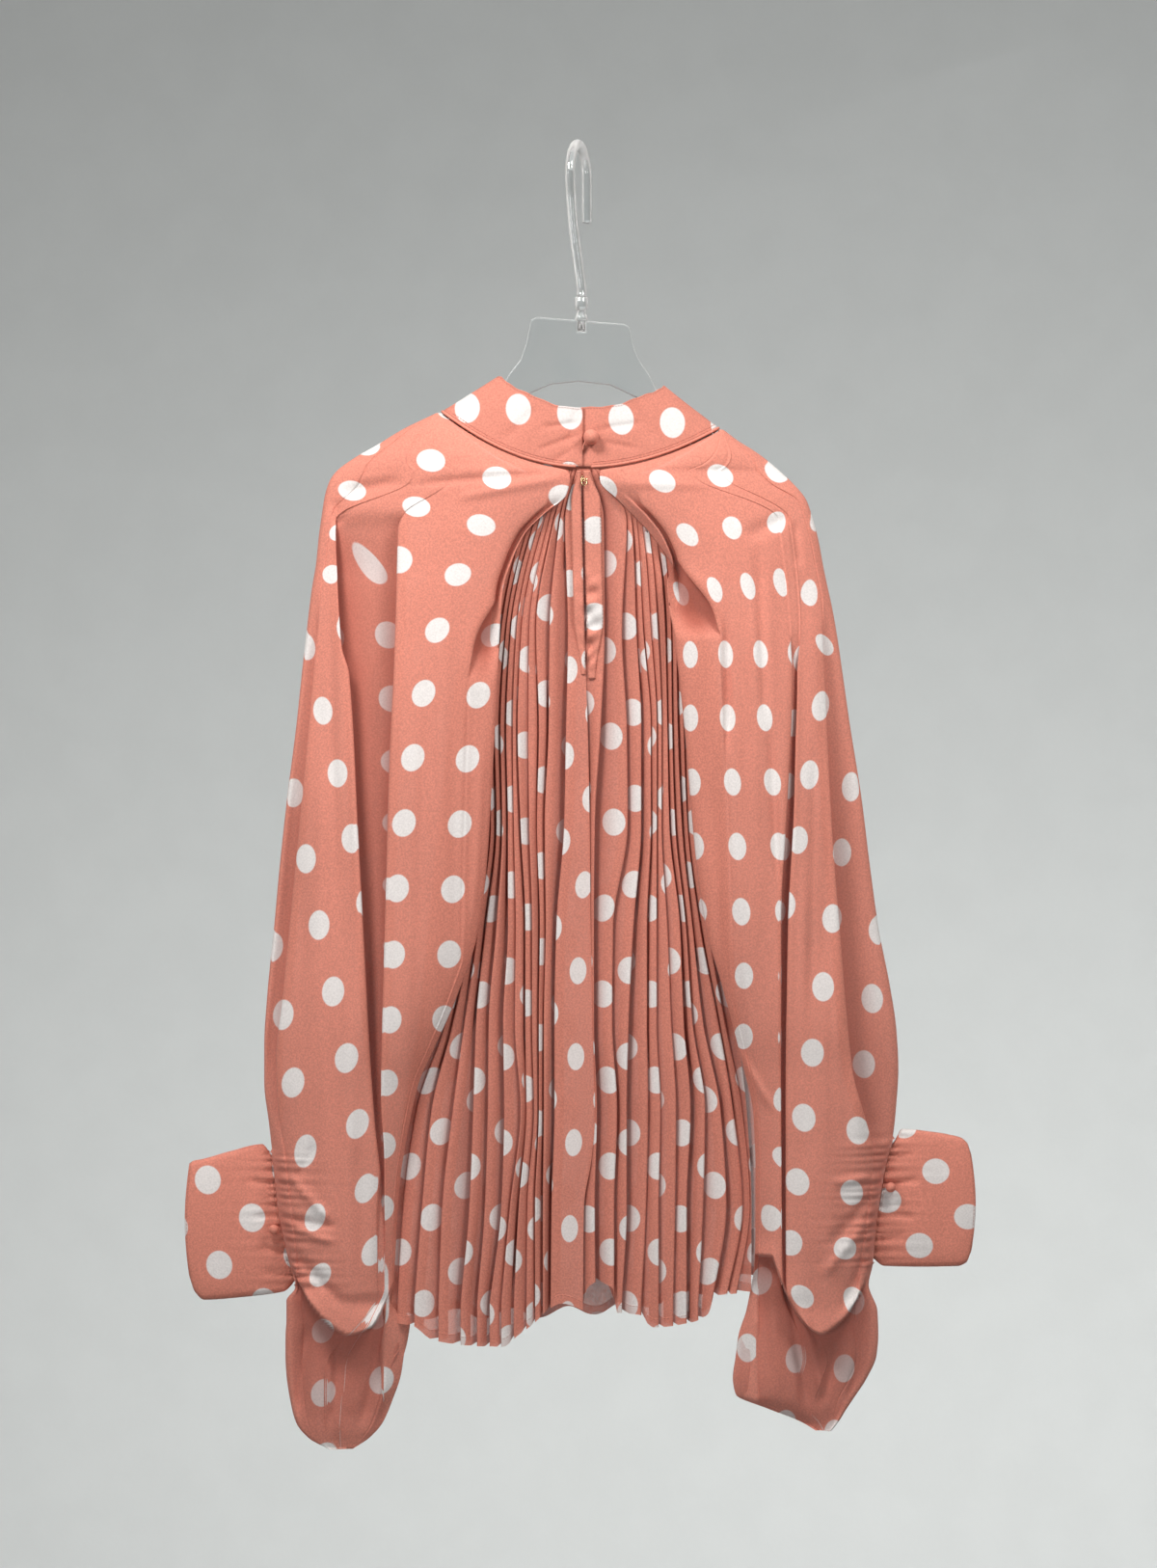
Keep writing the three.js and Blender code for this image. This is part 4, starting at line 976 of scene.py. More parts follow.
CENTRE_EDGE = Table("row edge", (489, 603), (540, 604), (700, 608), (760, 610), (855, 612), (960, 613),
      (1060, 616),
                    (1150, 618), (1200, 614), (1250, 606), (1350, 605))
PLEAT_UNDER = 7.0               # how far a fold lies back under its edge, mm
PLEAT_DEEP = 7.0                # from a fold's edge back to the next face, mm
BODY_ROW = 907                  # pixel row of a dot on the centre of the back
BACK_HEM = Table(
    "x z", (-136, -851), (-120, -853), (-106, -863), (-80, -867), (-55, -868), (-43, -859), (-31, -850),
    (-22, -841),
    (-10, -836), (3, -842), (5, -828), (14, -821), (25, -826), (27, -843), (45, -845), (53, -854), (79, -851),
    (95, -843), (97, -831), (124, -829))
FRONT_HEM = (-845.0, -813.0)

LEFT_CUFF = {
    "side": -1, "end": -282.5,
    "seam": Table("z x", (-728, -222.5), (-745, -220.5), (-767, -218.5), (-795, -213), (-824, -205)),
    "band": Table("share top bottom half", (0, -731, -821, 5), (0.12, -722, -829, 5.5), (0.5, -727, -833, 6),
                  (0.86, -733, -835, 5.5), (0.95, -734, -829, 5), (1, -736, -818, 4.5)),
    "dots": ((216, 1223), (46, 39), (-34, 49)),
    "creases": ((292, 1200, 262, 1190, 2.4, 1.2), (292, 1230, 255, 1222, 2.6, 1.6),
          (294, 1255, 262, 1262, 2.2, 1.2),
                (300, 1300, 268, 1290, 2.6, 1.5), (305, 1322, 270, 1318, 2.6, 1.1),
                (240, 1200, 225, 1330, 7, 0.8)),
}
RIGHT_CUFF = {
    "side": 1, "end": 285.0,
    "seam": Table("z x", (-718, 228.2), (-736, 223.5), (-759, 219.5), (-784, 215.5), (-808, 213.7)),
    "band": Table("share top bottom half", (0, -723, -805, 5), (0.12, -711, -810.5, 5.5), (0.5, -713, -811, 6),
                  (0.86, -717, -810.5, 5.5), (0.95, -721, -808, 5), (1, -729, -800, 4.5)),
    "dots": ((937, 1167), (50, -30), (33, 47)),
    "creases": ((918, 1200, 948, 1196, 2.4, 1.3), (914, 1228, 955, 1222, 2.6, 1.7),
          (912, 1255, 950, 1262, 2.2, 1.3),
                (908, 1285, 940, 1280, 2.6, 1.2), (970, 1180, 985, 1300, 7, 0.8)),
}
COLLAR_CREASES = (
    (598, 424, 588, 470, 2.6, 1.0), (602, 440, 560, 446, 2.2, 1.2), (603, 452, 556, 470, 2.2, 1.2),
    (604, 462, 570, 484, 2.0, 0.9), (618, 448, 668, 440, 2.4, 1.2), (620, 460, 662, 468, 2.2, 1.1),
    (560, 424, 520, 462, 4.0, 1.2), (655, 418, 680, 462, 4.0, 1.1), (505, 405, 480, 440, 4.0, 0.8),
)


class PleatedSide:
    """One back panel: its pleats' edges and the sum that turns them into knife pleats."""

    def __init__(self, side, pleats):
        self.side = side
        names = " ".join(["row"] + ["k%d" % (k + 1) for k in range(len(pleats))])
        self.edges = Table(names, *[(r, *[p[0][i] for p in pleats]) for i, r in enumerate(PLEAT_ROWS)])
        self.cloth = [p[1] for p in pleats]
        self.deep = [p[2] for p in pleats]
        self.count = len(pleats)
        self.word = "left" if side < 0 else "right"

    def limit(self, row):
        return BODY_EDGES.read("back_" + self.word, row)

    def start_x(self, row):
        return mm(CENTRE_EDGE.read("edge", row)) + (-0.3 if self.side < 0 else -1.2)

    def edge_x(self, k, row):
        """X of fold k in mm; one past the last reading lies on the side seam."""
        if k == 0:
            return self.start_x(row)
        if k > self.count:
            return self.limit(row) + self.side * 3.0
        return mm(self.edges.read("k%d" % k, row))

    def cloth_at(self, k, x, row):
        """Millimetres of cloth from the centre column of dots to a place on face k."""
        squeeze = 0.62 if self.side < 0 and k == 1 else 0.85
        k = min(k, self.count)
        return self.cloth[k - 1] + (x - self.edge_x(k, row)) / squeeze - self.side * 0.02 * (row - 900)

    def build(self, name, settings, pitch):
        """The panel as one sheet, with the pleats' sizes and the dots' pitch in metres."""
        side = self.side
        steps = np.linspace(0, 1, 240)
        stops, counts = [], []
        under, deepest = settings.pleat_under * 1000, settings.pleat_depth * 1000

        # A stop's fifth number is painted shade, which the material turns into darker cloth.
        def put(k, x_of, y_of, count, painted_shade=0.0, lift=0.0, past_edge=0.0):
            foot_x = float(x_of(np.array([1350.0]))[0])
            foot = REST[1] - float(BACK_HEM.read("z", foot_x)) / PIXEL - lift
            row = lerp(489.0, foot, steps)
            x = x_of(row)
            limit = self.limit(row)
            past = side * (x - limit) > 0
            x = np.where(past, limit, x)
            near = smooth(1 - side * (limit - x) / 18)
            edge_y = BODY_EDGES.read("y", row)
            y = np.where(past, edge_y, lerp(y_of(row), edge_y, near))
            u = self.cloth_at(k, x, row) + side * past_edge
            shift = 8.0 * math.sin(2.1 * min(k, self.count) + side)
            stops.append(np.stack([x, y, up(row), u, painted_shade + 0 * row, shift + 0 * row], axis=-1))
            counts.append(count)

        def base(row):
            return BODY_DEPTHS.read("back", row) - 2.6

        if side < 0:
            put(1, self.start_x, lambda row: base(row) + 1.2, 2, 0.1)
        else:
            put(1, self.start_x, lambda row: base(row) + lerp(2.0, 6.0, smooth((row - 705) / 60)), 2, 0.8)
        for k in range(1, self.count + 1):
            def edge(row, k=k):
                return self.edge_x(k, row)

            def size(row, k=k):
                return np.clip(side * (self.edge_x(k, row) - self.edge_x(k - 1, row)) / 6.0, 0.12, 1.0)

            def after(row, k=k):
                return np.clip(side * (self.edge_x(k + 1, row) - self.edge_x(k, row)) / 6.0, 0.12, 1.0)

            before_deep = self.deep[k - 2] if k > 1 else (0.3 if side < 0 else 1.0)
            own_deep = self.deep[k - 1]

            def floor(row, share):
                return base(row) + deepest * share * lerp(0.55, 1.0, smooth((row - 560) / 300))

            def middle(row, k=k, share=before_deep):
                return lerp(base(row), floor(row, share), 0.34 * size(row))

            def before(share, row, k=k):
                return lerp(self.edge_x(k - 1, row), self.edge_x(k, row), share)

            def near(row, back=0.0, lift=0.0, k=k):
                """Depth beside the fold's edge, which wanders a little."""
                sway = 0.9 * np.sin(row * 0.011 + 1.7 * k) + 0.5 * np.sin(row * 0.027 + 2.9 * k)
                return base(row) + lift + back * size(row) + sway * size(row)

            def tucked(row, reach):
                return edge(row) - side * reach * np.minimum(size(row), after(row))

            # Painted shade: each face darkens towards the hollow of the fold before it, and the underlay and the
            # next face, deep behind the edge, are darkest.
            put(k, lambda row: before(0.35, row), middle, 2, 0.35 * before_deep)
            put(k, lambda row: before(0.72, row), lambda row: near(row, lift=0.5), 2, 0.08)
            put(k, lambda row: edge(row) - side * 0.8 * size(row), lambda row: near(row), 1)
            put(k, edge, lambda row: near(row, 0.7), 1)
            put(k, lambda row: edge(row) - side * 0.9 * size(row), lambda row: near(row, 1.5), 2, 0.7, 1.0, 1.4)
            put(k, lambda row: tucked(row, under), lambda row: floor(row, own_deep) - 0.5, 1, 1.0, 4.0, 8.0)
            put(k + 1, lambda row: tucked(row, under - 0.8), lambda row: floor(row, own_deep) + 0.3, 2, 1.0, 4.0)
            put(k + 1, lambda row: edge(row) + side * 0.3 * after(row),
                lambda row: lerp(base(row), floor(row, own_deep), 0.92), 1, 0.95, 3.0)
        put(self.count + 1, self.limit, lambda row: BODY_EDGES.read("y", row), 0)
        grid = spline(np.stack(stops, axis=1), counts[:-1])
        x, y, z, u, painted_shade, shift = (grid[..., i] for i in range(6))
        row = REST[1] - z / PIXEL
        limit = self.limit(row)
        x = np.where(side * (x - limit) > 0, limit, x)
        points = np.stack([x, y, z], axis=-1)
        run = run_across(x, y)
        v = z - up(BODY_ROW) + shift
        half = pitch * 1000 * math.sqrt(2)
        foot = apart(points, points[-1:])
        uv = np.stack([(u + v) / half, (u - v) / half, run, foot, np.clip(painted_shade, 0, 1)], axis=-1)
        return cloth_piece(name, points, uv, facing=to_viewer)


LEFT_BACK = PleatedSide(-1, LEFT_PLEATS)
RIGHT_BACK = PleatedSide(1, RIGHT_PLEATS)


def front_grid():
    """The far panel's points, hem and neck, with soft folds."""
    steps, shares = np.linspace(0, 1, 150), np.linspace(0, 1, 150)
    share = shares[None, :]
    low = lerp(FRONT_HEM[0], FRONT_HEM[1], share**4)
    low = low + 3.5 * np.sin(share * math.pi * 13 + 0.6) - 2
    top_x = lerp(-38.0, 40.0, share)
    word = top_x < CENTRE
    half, rise = (np.where(word, *COLLAR[key]) for key in ("seam_half", "seam_rise"))
    drop = COLLAR["front_drop"]
    high = COLLAR["seam_z"] - drop - 0.6 + (rise + drop) * ((top_x - CENTRE) / half) ** 2
    z = lerp(high, low, steps[:, None])
    row = REST[1] - z / PIXEL
    left, right = BODY_EDGES.read("front_left", row), BODY_EDGES.read("front_right", row)
    x = lerp(left, right, share)
    hold = smooth(np.minimum(x - left, right - x) / 30)
    fall = smooth((-321 - z) / 120)
    fold = np.sin(share * math.pi * 13) + 0.35 * np.sin(share * math.pi * 29 + 1)
    y = lerp(BODY_EDGES.read("front_y", row), BODY_DEPTHS.read("front", row), hold) + 3.0 * fold * fall * hold
    return np.stack([x, y, z], axis=-1)


def make_front(name, pitch):
    points = front_grid()
    x, y, z = points[..., 0], points[..., 1], points[..., 2]
    run = run_across(x, y)
    u, v = run - run[:, 75:76] + 12, z - up(BODY_ROW - 20)
    half = pitch * 1000 * math.sqrt(2)
    foot = apart(points, points[-1:])
    # Painted shade: the whole far panel carries an even 0.55 of the fold darkening.
    uv = np.stack([(u + v) / half, (u - v) / half, run, foot, 0.55 + 0 * x], axis=-1)
    return cloth_piece(name, points, uv, facing=to_far_side)


def make_cuff(name, sizes):
    """A flat tube of cloth beside its gathered seam, open at both ends."""
    side = sizes["side"]
    shares, turns = np.linspace(0, 1, 90), np.linspace(0, 1, 97)
    share = shares[:, None]
    around = turns[None, :]
    front = around > 0.5
    down = np.where(front, 2 - 2 * around, 2 * around)
    top, bottom = sizes["band"].read("top", share), sizes["band"].read("bottom", share)
    half = sizes["band"].read("half", share)
    z = lerp(top, bottom, down)
    seam = sizes["seam"].read("x", z)
    bow = 3.0 * np.sin(np.pi * down) * share**2
    x = lerp(seam, sizes["end"], share) + side * bow
    depth = half * np.sin(np.pi * np.clip(down, 0, 1)) ** 0.35
    px, row = REST[0] + x / PIXEL, REST[1] - z / PIXEL
    near_seam = np.exp(-np.abs(x - seam) / 12.0)
    pucker = np.sin(z * 2 * np.pi / 6.3 + 1.4 * np.sin(z / 4.3)) * near_seam * 1.7
    crease = crease_depth(sizes["creases"], px, row)
    y = np.where(front, depth - pucker, -depth + crease + pucker)
    points = np.stack([x, y, z], axis=-1)
    origin, first, second = (np.array(p, float) for p in sizes["dots"])
    basis = np.linalg.inv(np.stack([first, second], axis=1))
    flat = np.stack([px - origin[0], row - origin[1]], axis=-1) @ basis.T
    flat = flat + np.where(front, 0.37, 0.0)[..., None] * np.array([1.0, -1.0])
    uv = np.concatenate([flat, np.stack([np.broadcast_to(z, x.shape), np.minimum(
        np.abs(x - seam), np.abs(x - lerp(seam, sizes["end"], 1.0) - side * 3.0 * np.sin(np.pi * down)))],
        axis=-1)], axis=-1)
    return cloth_piece(name, points, uv, facing=lambda p: p * [0, 1, 0])


def collar_point(angle, share):
    """Points round the neck: angle runs from the closure over the right side, share from seam to top."""
    right = np.sin(angle) > 0
    front = np.maximum(0, -np.cos(angle))

    def between(key):
        seam, top = COLLAR["seam_" + key], COLLAR["top_" + key]
        return np.where(right, lerp(seam[1], top[1], share), lerp(seam[0], top[0], share))

    depth = lerp(COLLAR["seam_depth"], COLLAR["top_depth"], share)
    z = lerp(COLLAR["seam_z"], COLLAR["top_z"], share) + between("rise") * np.sin(angle) ** 2
    z = z - COLLAR["front_drop"] * front**2
    return np.stack([CENTRE + between("half") * np.sin(angle), -depth * np.cos(angle), z], axis=-1)


def collar_grid(rows=40, columns=420, first=0.012, last=1.0):
    angle = lerp(-0.072, 2 * math.pi - 0.011, np.linspace(0, 1, columns))[None, :]
    share = lerp(first, last, np.linspace(0, 1, rows))[:, None]
    points = collar_point(angle + 0 * share, share + 0 * angle)
    points[..., 1] += COLLAR["lap"] * smooth(1 - angle / 0.35)
    back = smooth((np.cos(angle) - 0.1) / 0.3)
    px, row = REST[0] + points[..., 0] / PIXEL, REST[1] - points[..., 2] / PIXEL
    points[..., 1] += back * crease_depth(COLLAR_CREASES, px, row)
    wave = 0.5 * np.sin(angle * 9 + 1) + 0.3 * np.sin(angle * 23)
    points[..., 2] += wave * smooth((share - 0.5) / 0.5) * np.where(np.cos(angle) > 0, 1.0, 0.6)
    return points


def make_collar(name):
    points = collar_grid()
    x, z = points[..., 0], points[..., 2]
    steps = np.linalg.norm(np.diff(points[20], axis=0), axis=-1)
    run = np.concatenate([[0], np.cumsum(steps)])[None, :]
    px, row = REST[0] + x / PIXEL, REST[1] - z / PIXEL
    across = (px - 485) / 53.0
    along = (row - lerp(424, 440, smooth((px - 485) / 220))) / 66.0
    around = points[..., 1] > 2
    across = np.where(around, across + 0.45, across)
    edge = np.minimum(apart(points, points[:1]), apart(points, points[-1:]))
    uv = np.stack([across, along, run + 0 * x, edge], axis=-1)
    return cloth_piece(name, points, uv, facing=lambda p: p * [0.3, 1, 0])


def make_placket(name, side):
    """A strip of doubled cloth on the panel's flat edge, a little puckered below its middle."""
    across, down = np.linspace(0, 1, 16)[None, :], np.linspace(0, 1, 150)[:, None]
    row = lerp(491.0, 704.0 if side > 0 else 700.0, down)
    tuck = smooth((row - 640) / 62)
    wide = lerp(5.0, 12.0, smooth((row - 492) / 30)) if side > 0 else lerp(3.0, 7.5, smooth((row - 492) / 30))
    start = mm(CENTRE_EDGE.read("edge", row)) + (1.4 if side > 0 else -0.4)
    z = up(row) + 0 * across
    puckers = smooth((row - 585) / 30) * smooth((702 - row) / 16) * (1.3 if side > 0 else 0.25)
    wide = wide * (1 - 0.55 * tuck)
    x = start + side * across * wide
    y = BODY_DEPTHS.read("back", row) - 3.4 + 1.8 * tuck - 0.5 * np.sin(np.pi * across)
    ripple = 0.9 * np.sin(z * 0.31 + 2.6 * across) + 0.7 * np.sin(z * 0.52 - 3 * across + 1)
    y = y + puckers * ripple * (1.15 - across)
    y = y + 0.4 * np.sin(z * 0.12)
    points = np.stack([x + 0 * down, y, z], axis=-1)
    u = x - mm(617) + 0 * z
    v = z - up(BODY_ROW if side > 0 else BODY_ROW + 44)
    half = BODY_PITCH * math.sqrt(2)
    edge = np.minimum(np.abs(x - start), np.abs(x - start - side * wide)) + 0 * z
    uv = np.stack([(u + v) / half, (u - v) / half, -z, edge], axis=-1)
    return cloth_piece(name, points, uv, facing=to_viewer)


# Lathed and bent pieces

def tube(name, path, radius, sides=20, cap=True):
    """A round rod along points in millimetres; the radius may change along it."""
    path = np.asarray(path, float)
    radius = np.broadcast_to(np.asarray(radius, float), (len(path),))
    tangent = np.gradient(path, axis=0)
    tangent /= np.linalg.norm(tangent, axis=1)[:, None]
    normal = np.cross(tangent[0], [0.3, 1.0, 0.2])
    rings = []
    for place, along, r in zip(path, tangent, radius):
        normal = normal - along * normal.dot(along)
        normal /= np.linalg.norm(normal)
        other = np.cross(along, normal)
        turn = np.linspace(0, 2 * math.pi, sides, endpoint=False)[:, None]
        rings.append(place + r * (np.cos(turn) * normal + np.sin(turn) * other))
    points = np.concatenate(rings)
    faces = []
    count = len(path)
    for i in range(count - 1):
        for j in range(sides):
            k = (j + 1) % sides
            faces.append((i * sides + j, i * sides + k, (i + 1) * sides + k))
            faces.append((i * sides + j, (i + 1) * sides + k, (i + 1) * sides + j))
    if cap:
        points = np.concatenate([points, path[:1], path[-1:]])
        start, end = count * sides, count * sides + 1
        for j in range(sides):
            k = (j + 1) % sides
            faces.append((start, k, j))
            faces.append((end, (count - 1) * sides + j, (count - 1) * sides + k))
    return from_arrays(name, points, faces)


def smooth_path(points, steps=12):
    points = np.asarray(points, float)[None, ...]
    return spline(points, [steps] * (points.shape[1] - 1))[0]


def lathe(name, profile, centre, sides=48, axis="z"):
    """A turned piece: profile holds radius and height in millimetres, from one pole to the other."""
    turn = np.linspace(0, 2 * math.pi, sides, endpoint=False)
    points, faces, rings = [], [], []
    for radius, height in profile:
        if radius < 1e-6:
            rings.append([len(points)] * sides)
            points.append((0, 0, height))
        else:
            rings.append(list(range(len(points), len(points) + sides)))
            points += [(radius * math.cos(t), radius * math.sin(t), height) for t in turn]
    for low, high in zip(rings[:-1], rings[1:]):
        for j in range(sides):
            k = (j + 1) % sides
            if low[j] != low[k]:
                faces.append((low[j], low[k], high[k]))
            if high[j] != high[k]:
                faces.append((low[j], high[k], high[j]))
    points = np.array(points, float)
    if axis == "y":
        points = points[:, [0, 2, 1]] * [1, -1, 1]
    return from_arrays(name, points + centre, faces)


def join(name, objects):
    """One mesh from several, by their points and faces."""
    points, faces, base = [], [], 0
    for obj in objects:
        mesh = obj.data
        co = np.empty(len(mesh.vertices) * 3)
        mesh.vertices.foreach_get("co", co)
        index = np.empty(len(mesh.loops), int)
        mesh.loops.foreach_get("vertex_index", index)
        points.append(co.reshape(-1, 3) * 1000)
        faces.append(index.reshape(-1, 3) + base)
        base += len(mesh.vertices)
        bpy.data.objects.remove(obj)
        bpy.data.meshes.remove(mesh)
    return from_arrays(name, np.concatenate(points), np.concatenate(faces))


def covered_ball(name, x, y, z, radius):
    """A small ball under gathered cloth: soft pleats run to a point at its foot."""
    profile = []
    for t in np.linspace(0, math.pi, 22):
        profile.append((radius * math.sin(t), -radius * math.cos(t)))
    profile[0], profile[-1] = (0, profile[0][1]), (0, profile[-1][1])
    obj = lathe(name, profile, (0, 0, 0), 40, axis="y")
    for vertex in obj.data.vertices:
        p = vertex.co * 1000
        turn = math.atan2(p.z, p.x)
        rear = smooth((p.y / radius + 0.1) / 0.8)
        swell = 1 + 0.035 * float(rear) * math.sin(9 * turn) + 0.012 * math.sin(3 * turn + 1)
        vertex.co = Vector((p.x * swell + x, p.y + y, p.z * swell + z)) / 1000
    return obj


# Stitches by Geometry Nodes: thread pieces set at even steps along a path

def stitch_tree(material):
    tree = bpy.data.node_groups.new("stitch_row", "GeometryNodeTree")
    tree.interface.new_socket("Path", in_out="INPUT", socket_type="NodeSocketGeometry")
    inputs = {}
    for label, value in (("Step", 0.0025), ("Length", 0.0017), ("Thread", 0.00022)):
        socket = tree.interface.new_socket(label, in_out="INPUT", socket_type="NodeSocketFloat")
        socket.default_value = value
        inputs[label] = socket.identifier
    seed = tree.interface.new_socket("Seed", in_out="INPUT", socket_type="NodeSocketInt")
    seed.default_value = 4
    inputs["Seed"] = seed.identifier
    tree.interface.new_socket("Stitches", in_out="OUTPUT", socket_type="NodeSocketGeometry")
    nodes, links = tree.nodes, tree.links

    def add(kind, **settings):
        made = nodes.new(kind)
        for key, value in settings.items():
            setattr(made, key, value)
        return made

    given = add("NodeGroupInput")
    to_curve = add("GeometryNodeMeshToCurve")
    to_points = add("GeometryNodeCurveToPoints", mode="LENGTH")
    thread = add("GeometryNodeMeshCylinder", fill_type="TRIANGLE_FAN")
    thread.inputs["Vertices"].default_value = 6
    instance = add("GeometryNodeInstanceOnPoints")
    jitter = add("FunctionNodeRandomValue", data_type="FLOAT")
    jitter.inputs[2].default_value = 0.9
    jitter.inputs[3].default_value = 1.1
    realize = add("GeometryNodeRealizeInstances")
    finish = add("GeometryNodeSetMaterial")
    finish.inputs["Material"].default_value = material
    result = add("NodeGroupOutput")
    links.new(given.outputs["Path"], to_curve.inputs["Mesh"])
    links.new(to_curve.outputs["Curve"], to_points.inputs["Curve"])
    links.new(given.outputs["Step"], to_points.inputs["Length"])
    links.new(given.outputs["Length"], thread.inputs["Depth"])
    links.new(given.outputs["Thread"], thread.inputs["Radius"])
    links.new(to_points.outputs["Points"], instance.inputs["Points"])
    links.new(to_points.outputs["Rotation"], instance.inputs["Rotation"])
    links.new(thread.outputs["Mesh"], instance.inputs["Instance"])
    links.new(given.outputs["Seed"], jitter.inputs["Seed"])
    links.new(jitter.outputs[1], instance.inputs["Scale"])
    links.new(instance.outputs["Instances"], realize.inputs["Geometry"])
    links.new(realize.outputs["Geometry"], finish.inputs["Geometry"])
    links.new(finish.outputs["Geometry"], result.inputs["Stitches"])
    return tree, inputs


def stitched(name, paths, material, step, length, thread):
    """Rows of stitches along paths of points in millimetres."""
    mesh = bpy.data.meshes.new(name + "_path")
    points = [tuple(p / 1000) for path in paths for p in path]
    edges, base = [], 0
    for path in paths:
        edges += [(base + i, base + i + 1) for i in range(len(path) - 1)]
        base += len(path)
    mesh.from_pydata(points, edges, [])
    guide = bpy.data.objects.new(name + "_path", mesh)
    bpy.context.scene.collection.objects.link(guide)
    tree, inputs = stitch_tree(material)
    modifier = guide.modifiers.new("stitches", "NODES")
    modifier.node_group = tree
    for label, value in (("Step", step), ("Length", length), ("Thread", thread)):
        modifier[inputs[label]] = value / 1000
    modifier[inputs["Seed"]] = 4
    bpy.context.view_layer.update()
    made = bpy.data.meshes.new_from_object(guide.evaluated_get(bpy.context.evaluated_depsgraph_get()))
    made.name = name
    guide.modifiers.clear()
    bpy.data.objects.remove(guide)
    if not made.polygons:
        raise RuntimeError("no stitches came out for " + name)
    obj = bpy.data.objects.new(name, made)
    bpy.context.scene.collection.objects.link(obj)
    return obj


def thicken(obj, wall, offset=-1.0):
    """Gives a sheet a wall in metres, as plain mesh."""
    modifier = obj.modifiers.new("wall", "SOLIDIFY")
    modifier.thickness = wall
    modifier.offset = offset
    modifier.use_even_offset = False
    modifier.use_rim = True
    depsgraph = bpy.context.evaluated_depsgraph_get()
    made = bpy.data.meshes.new_from_object(obj.evaluated_get(depsgraph))
    old = obj.data
    obj.modifiers.clear()
    obj.data = made
    bpy.data.meshes.remove(old)
    made.name = obj.name
    return obj


# Hanger

HOOK_TURN = math.radians(15)
PLATE_TOP = (2.1, -124.6)
PLATE_OUTLINE = (
    (-30, -122.0), (-34.4, -124.0), (-35.5, -129), (-37.6, -140), (-42, -153), (-50, -163), (-55, -172),
    (-75, -186),
    (-100, -198), (-122, -203.3), (-147, -217.9), (-163, -227.9), (-171, -235), (-173.5, -244), (-166, -251),
    (-130, -238), (-100, -221), (-72, -203), (-48, -186), (-34, -176.5), (-20, -170.5), (0, -168.5), (23, -171),
    (42, -180), (66, -201), (95, -226), (125, -248), (149, -266), (158, -264), (161, -254), (154, -244.2),
    (135, -227.7), (116, -214.2), (100, -207.5), (77, -194), (58, -178), (51.5, -164.5), (43, -152), (39, -141),
    (37.5, -133), (36.4, -129), (33, -127.1),
)


def make_rod(name):
    reach = 23.5
    points = [(PLATE_TOP[0], 0, -107), (PLATE_TOP[0] - 0.2, 0, -98)]

    def turned(at, z):
        return at * math.sin(HOOK_TURN), at * math.cos(HOOK_TURN), z

    points += [turned(-12, -62), turned(-20.5, -37)]
    for i in range(11):
        angle = math.pi * (1.03 - 1.03 * i / 10)
        points.append(turned(reach * math.cos(angle), -20 + reach * math.sin(angle)))
    points += [turned(reach, -35.5), turned(reach, -49.6)]
    path = smooth_path(points, 8)
    end = np.array(turned(reach, -51.0))
    radius = np.full(len(path) + 3, 3.5)
    tail = np.array([lerp(path[-1], end, t) for t in (0.5, 0.85, 1.0)])
    radius[-3:] = (3.3, 2.7, 1.9)
    return tube(name, np.concatenate([path, tail]), radius, 28)


def make_cup(name):
    """Turned cup for the rod, its waist and the pin in the plate's notch, with eased edges."""
    top = -107.4 - PLATE_TOP[1]
    profile = [
        (0, -7.4), (2.2, -7.4), (2.7, -6.9), (2.7, 0.5), (4.2, 0.5), (4.6, 0.9), (4.6, 2.8), (4.2, 3.5),
        (3.5, 4.8),
        (3.4, 5.4), (3.4, 7.2), (3.8, 7.9), (4.6, 8.7), (4.8, 9.2), (4.8, top - 0.5), (4.4, top), (0, top),
    ]
    return lathe(name, profile, (PLATE_TOP[0], 0, PLATE_TOP[1]), 56)


def make_board(name):
    """Clear plate cut to its outline, with polished bevelled edges and the notch for the pin."""
    x, z = PLATE_TOP

    def tilt(at):
        return z - 0.08 * (at - x)

    notch = [(x + 3.2, tilt(x + 3.2)), (x + 3.2, z - 8), (x - 3.2, z - 8), (x - 3.2, tilt(x - 3.2))]
    outline = list(PLATE_OUTLINE) + notch
    curve = bpy.data.curves.new(name, "CURVE")
    curve.dimensions = "2D"
    curve.fill_mode = "BOTH"
    curve.extrude = 0.0041
    curve.bevel_depth = 0.0009
    curve.bevel_resolution = 3
    line = curve.splines.new("POLY")
    inset = []
    count = len(outline)
    for i in range(count):
        before, here, after = (np.array(outline[(i + k) % count], float) for k in (-1, 0, 1))
        sides = []
        for a, b in ((before, here), (here, after)):
            d = (b - a) / np.linalg.norm(b - a)
            sides.append(np.array([-d[1], d[0]]))
        lean = sides[0] + sides[1]
        lean = lean / max(0.5, float(lean.dot(lean)) / 2)
        inset.append(here + 0.9 * lean)
    line.points.add(count - 1)
    line.use_cyclic_u = True
    for point, (px, pz) in zip(line.points, inset):
        point.co = (px / 1000, pz / 1000, 0, 1)
    holder = bpy.data.objects.new(name + "_line", curve)
    bpy.context.scene.collection.objects.link(holder)
    bpy.context.view_layer.update()
    made = bpy.data.meshes.new_from_object(holder.evaluated_get(bpy.context.evaluated_depsgraph_get()))
    bpy.data.objects.remove(holder)
    for vertex in made.vertices:
        vertex.co = Vector((vertex.co.x, -vertex.co.z, vertex.co.y))
    tidy = bmesh.new()
    tidy.from_mesh(made)
    bmesh.ops.remove_doubles(tidy, verts=tidy.verts, dist=1e-6)
    bmesh.ops.triangulate(tidy, faces=tidy.faces)
    bmesh.ops.recalc_face_normals(tidy, faces=tidy.faces)
    tidy.to_mesh(made)
    tidy.free()
    made.name = name
    obj = bpy.data.objects.new(name, made)
    bpy.context.scene.collection.objects.link(obj)
    return obj


# Settings that a user would change

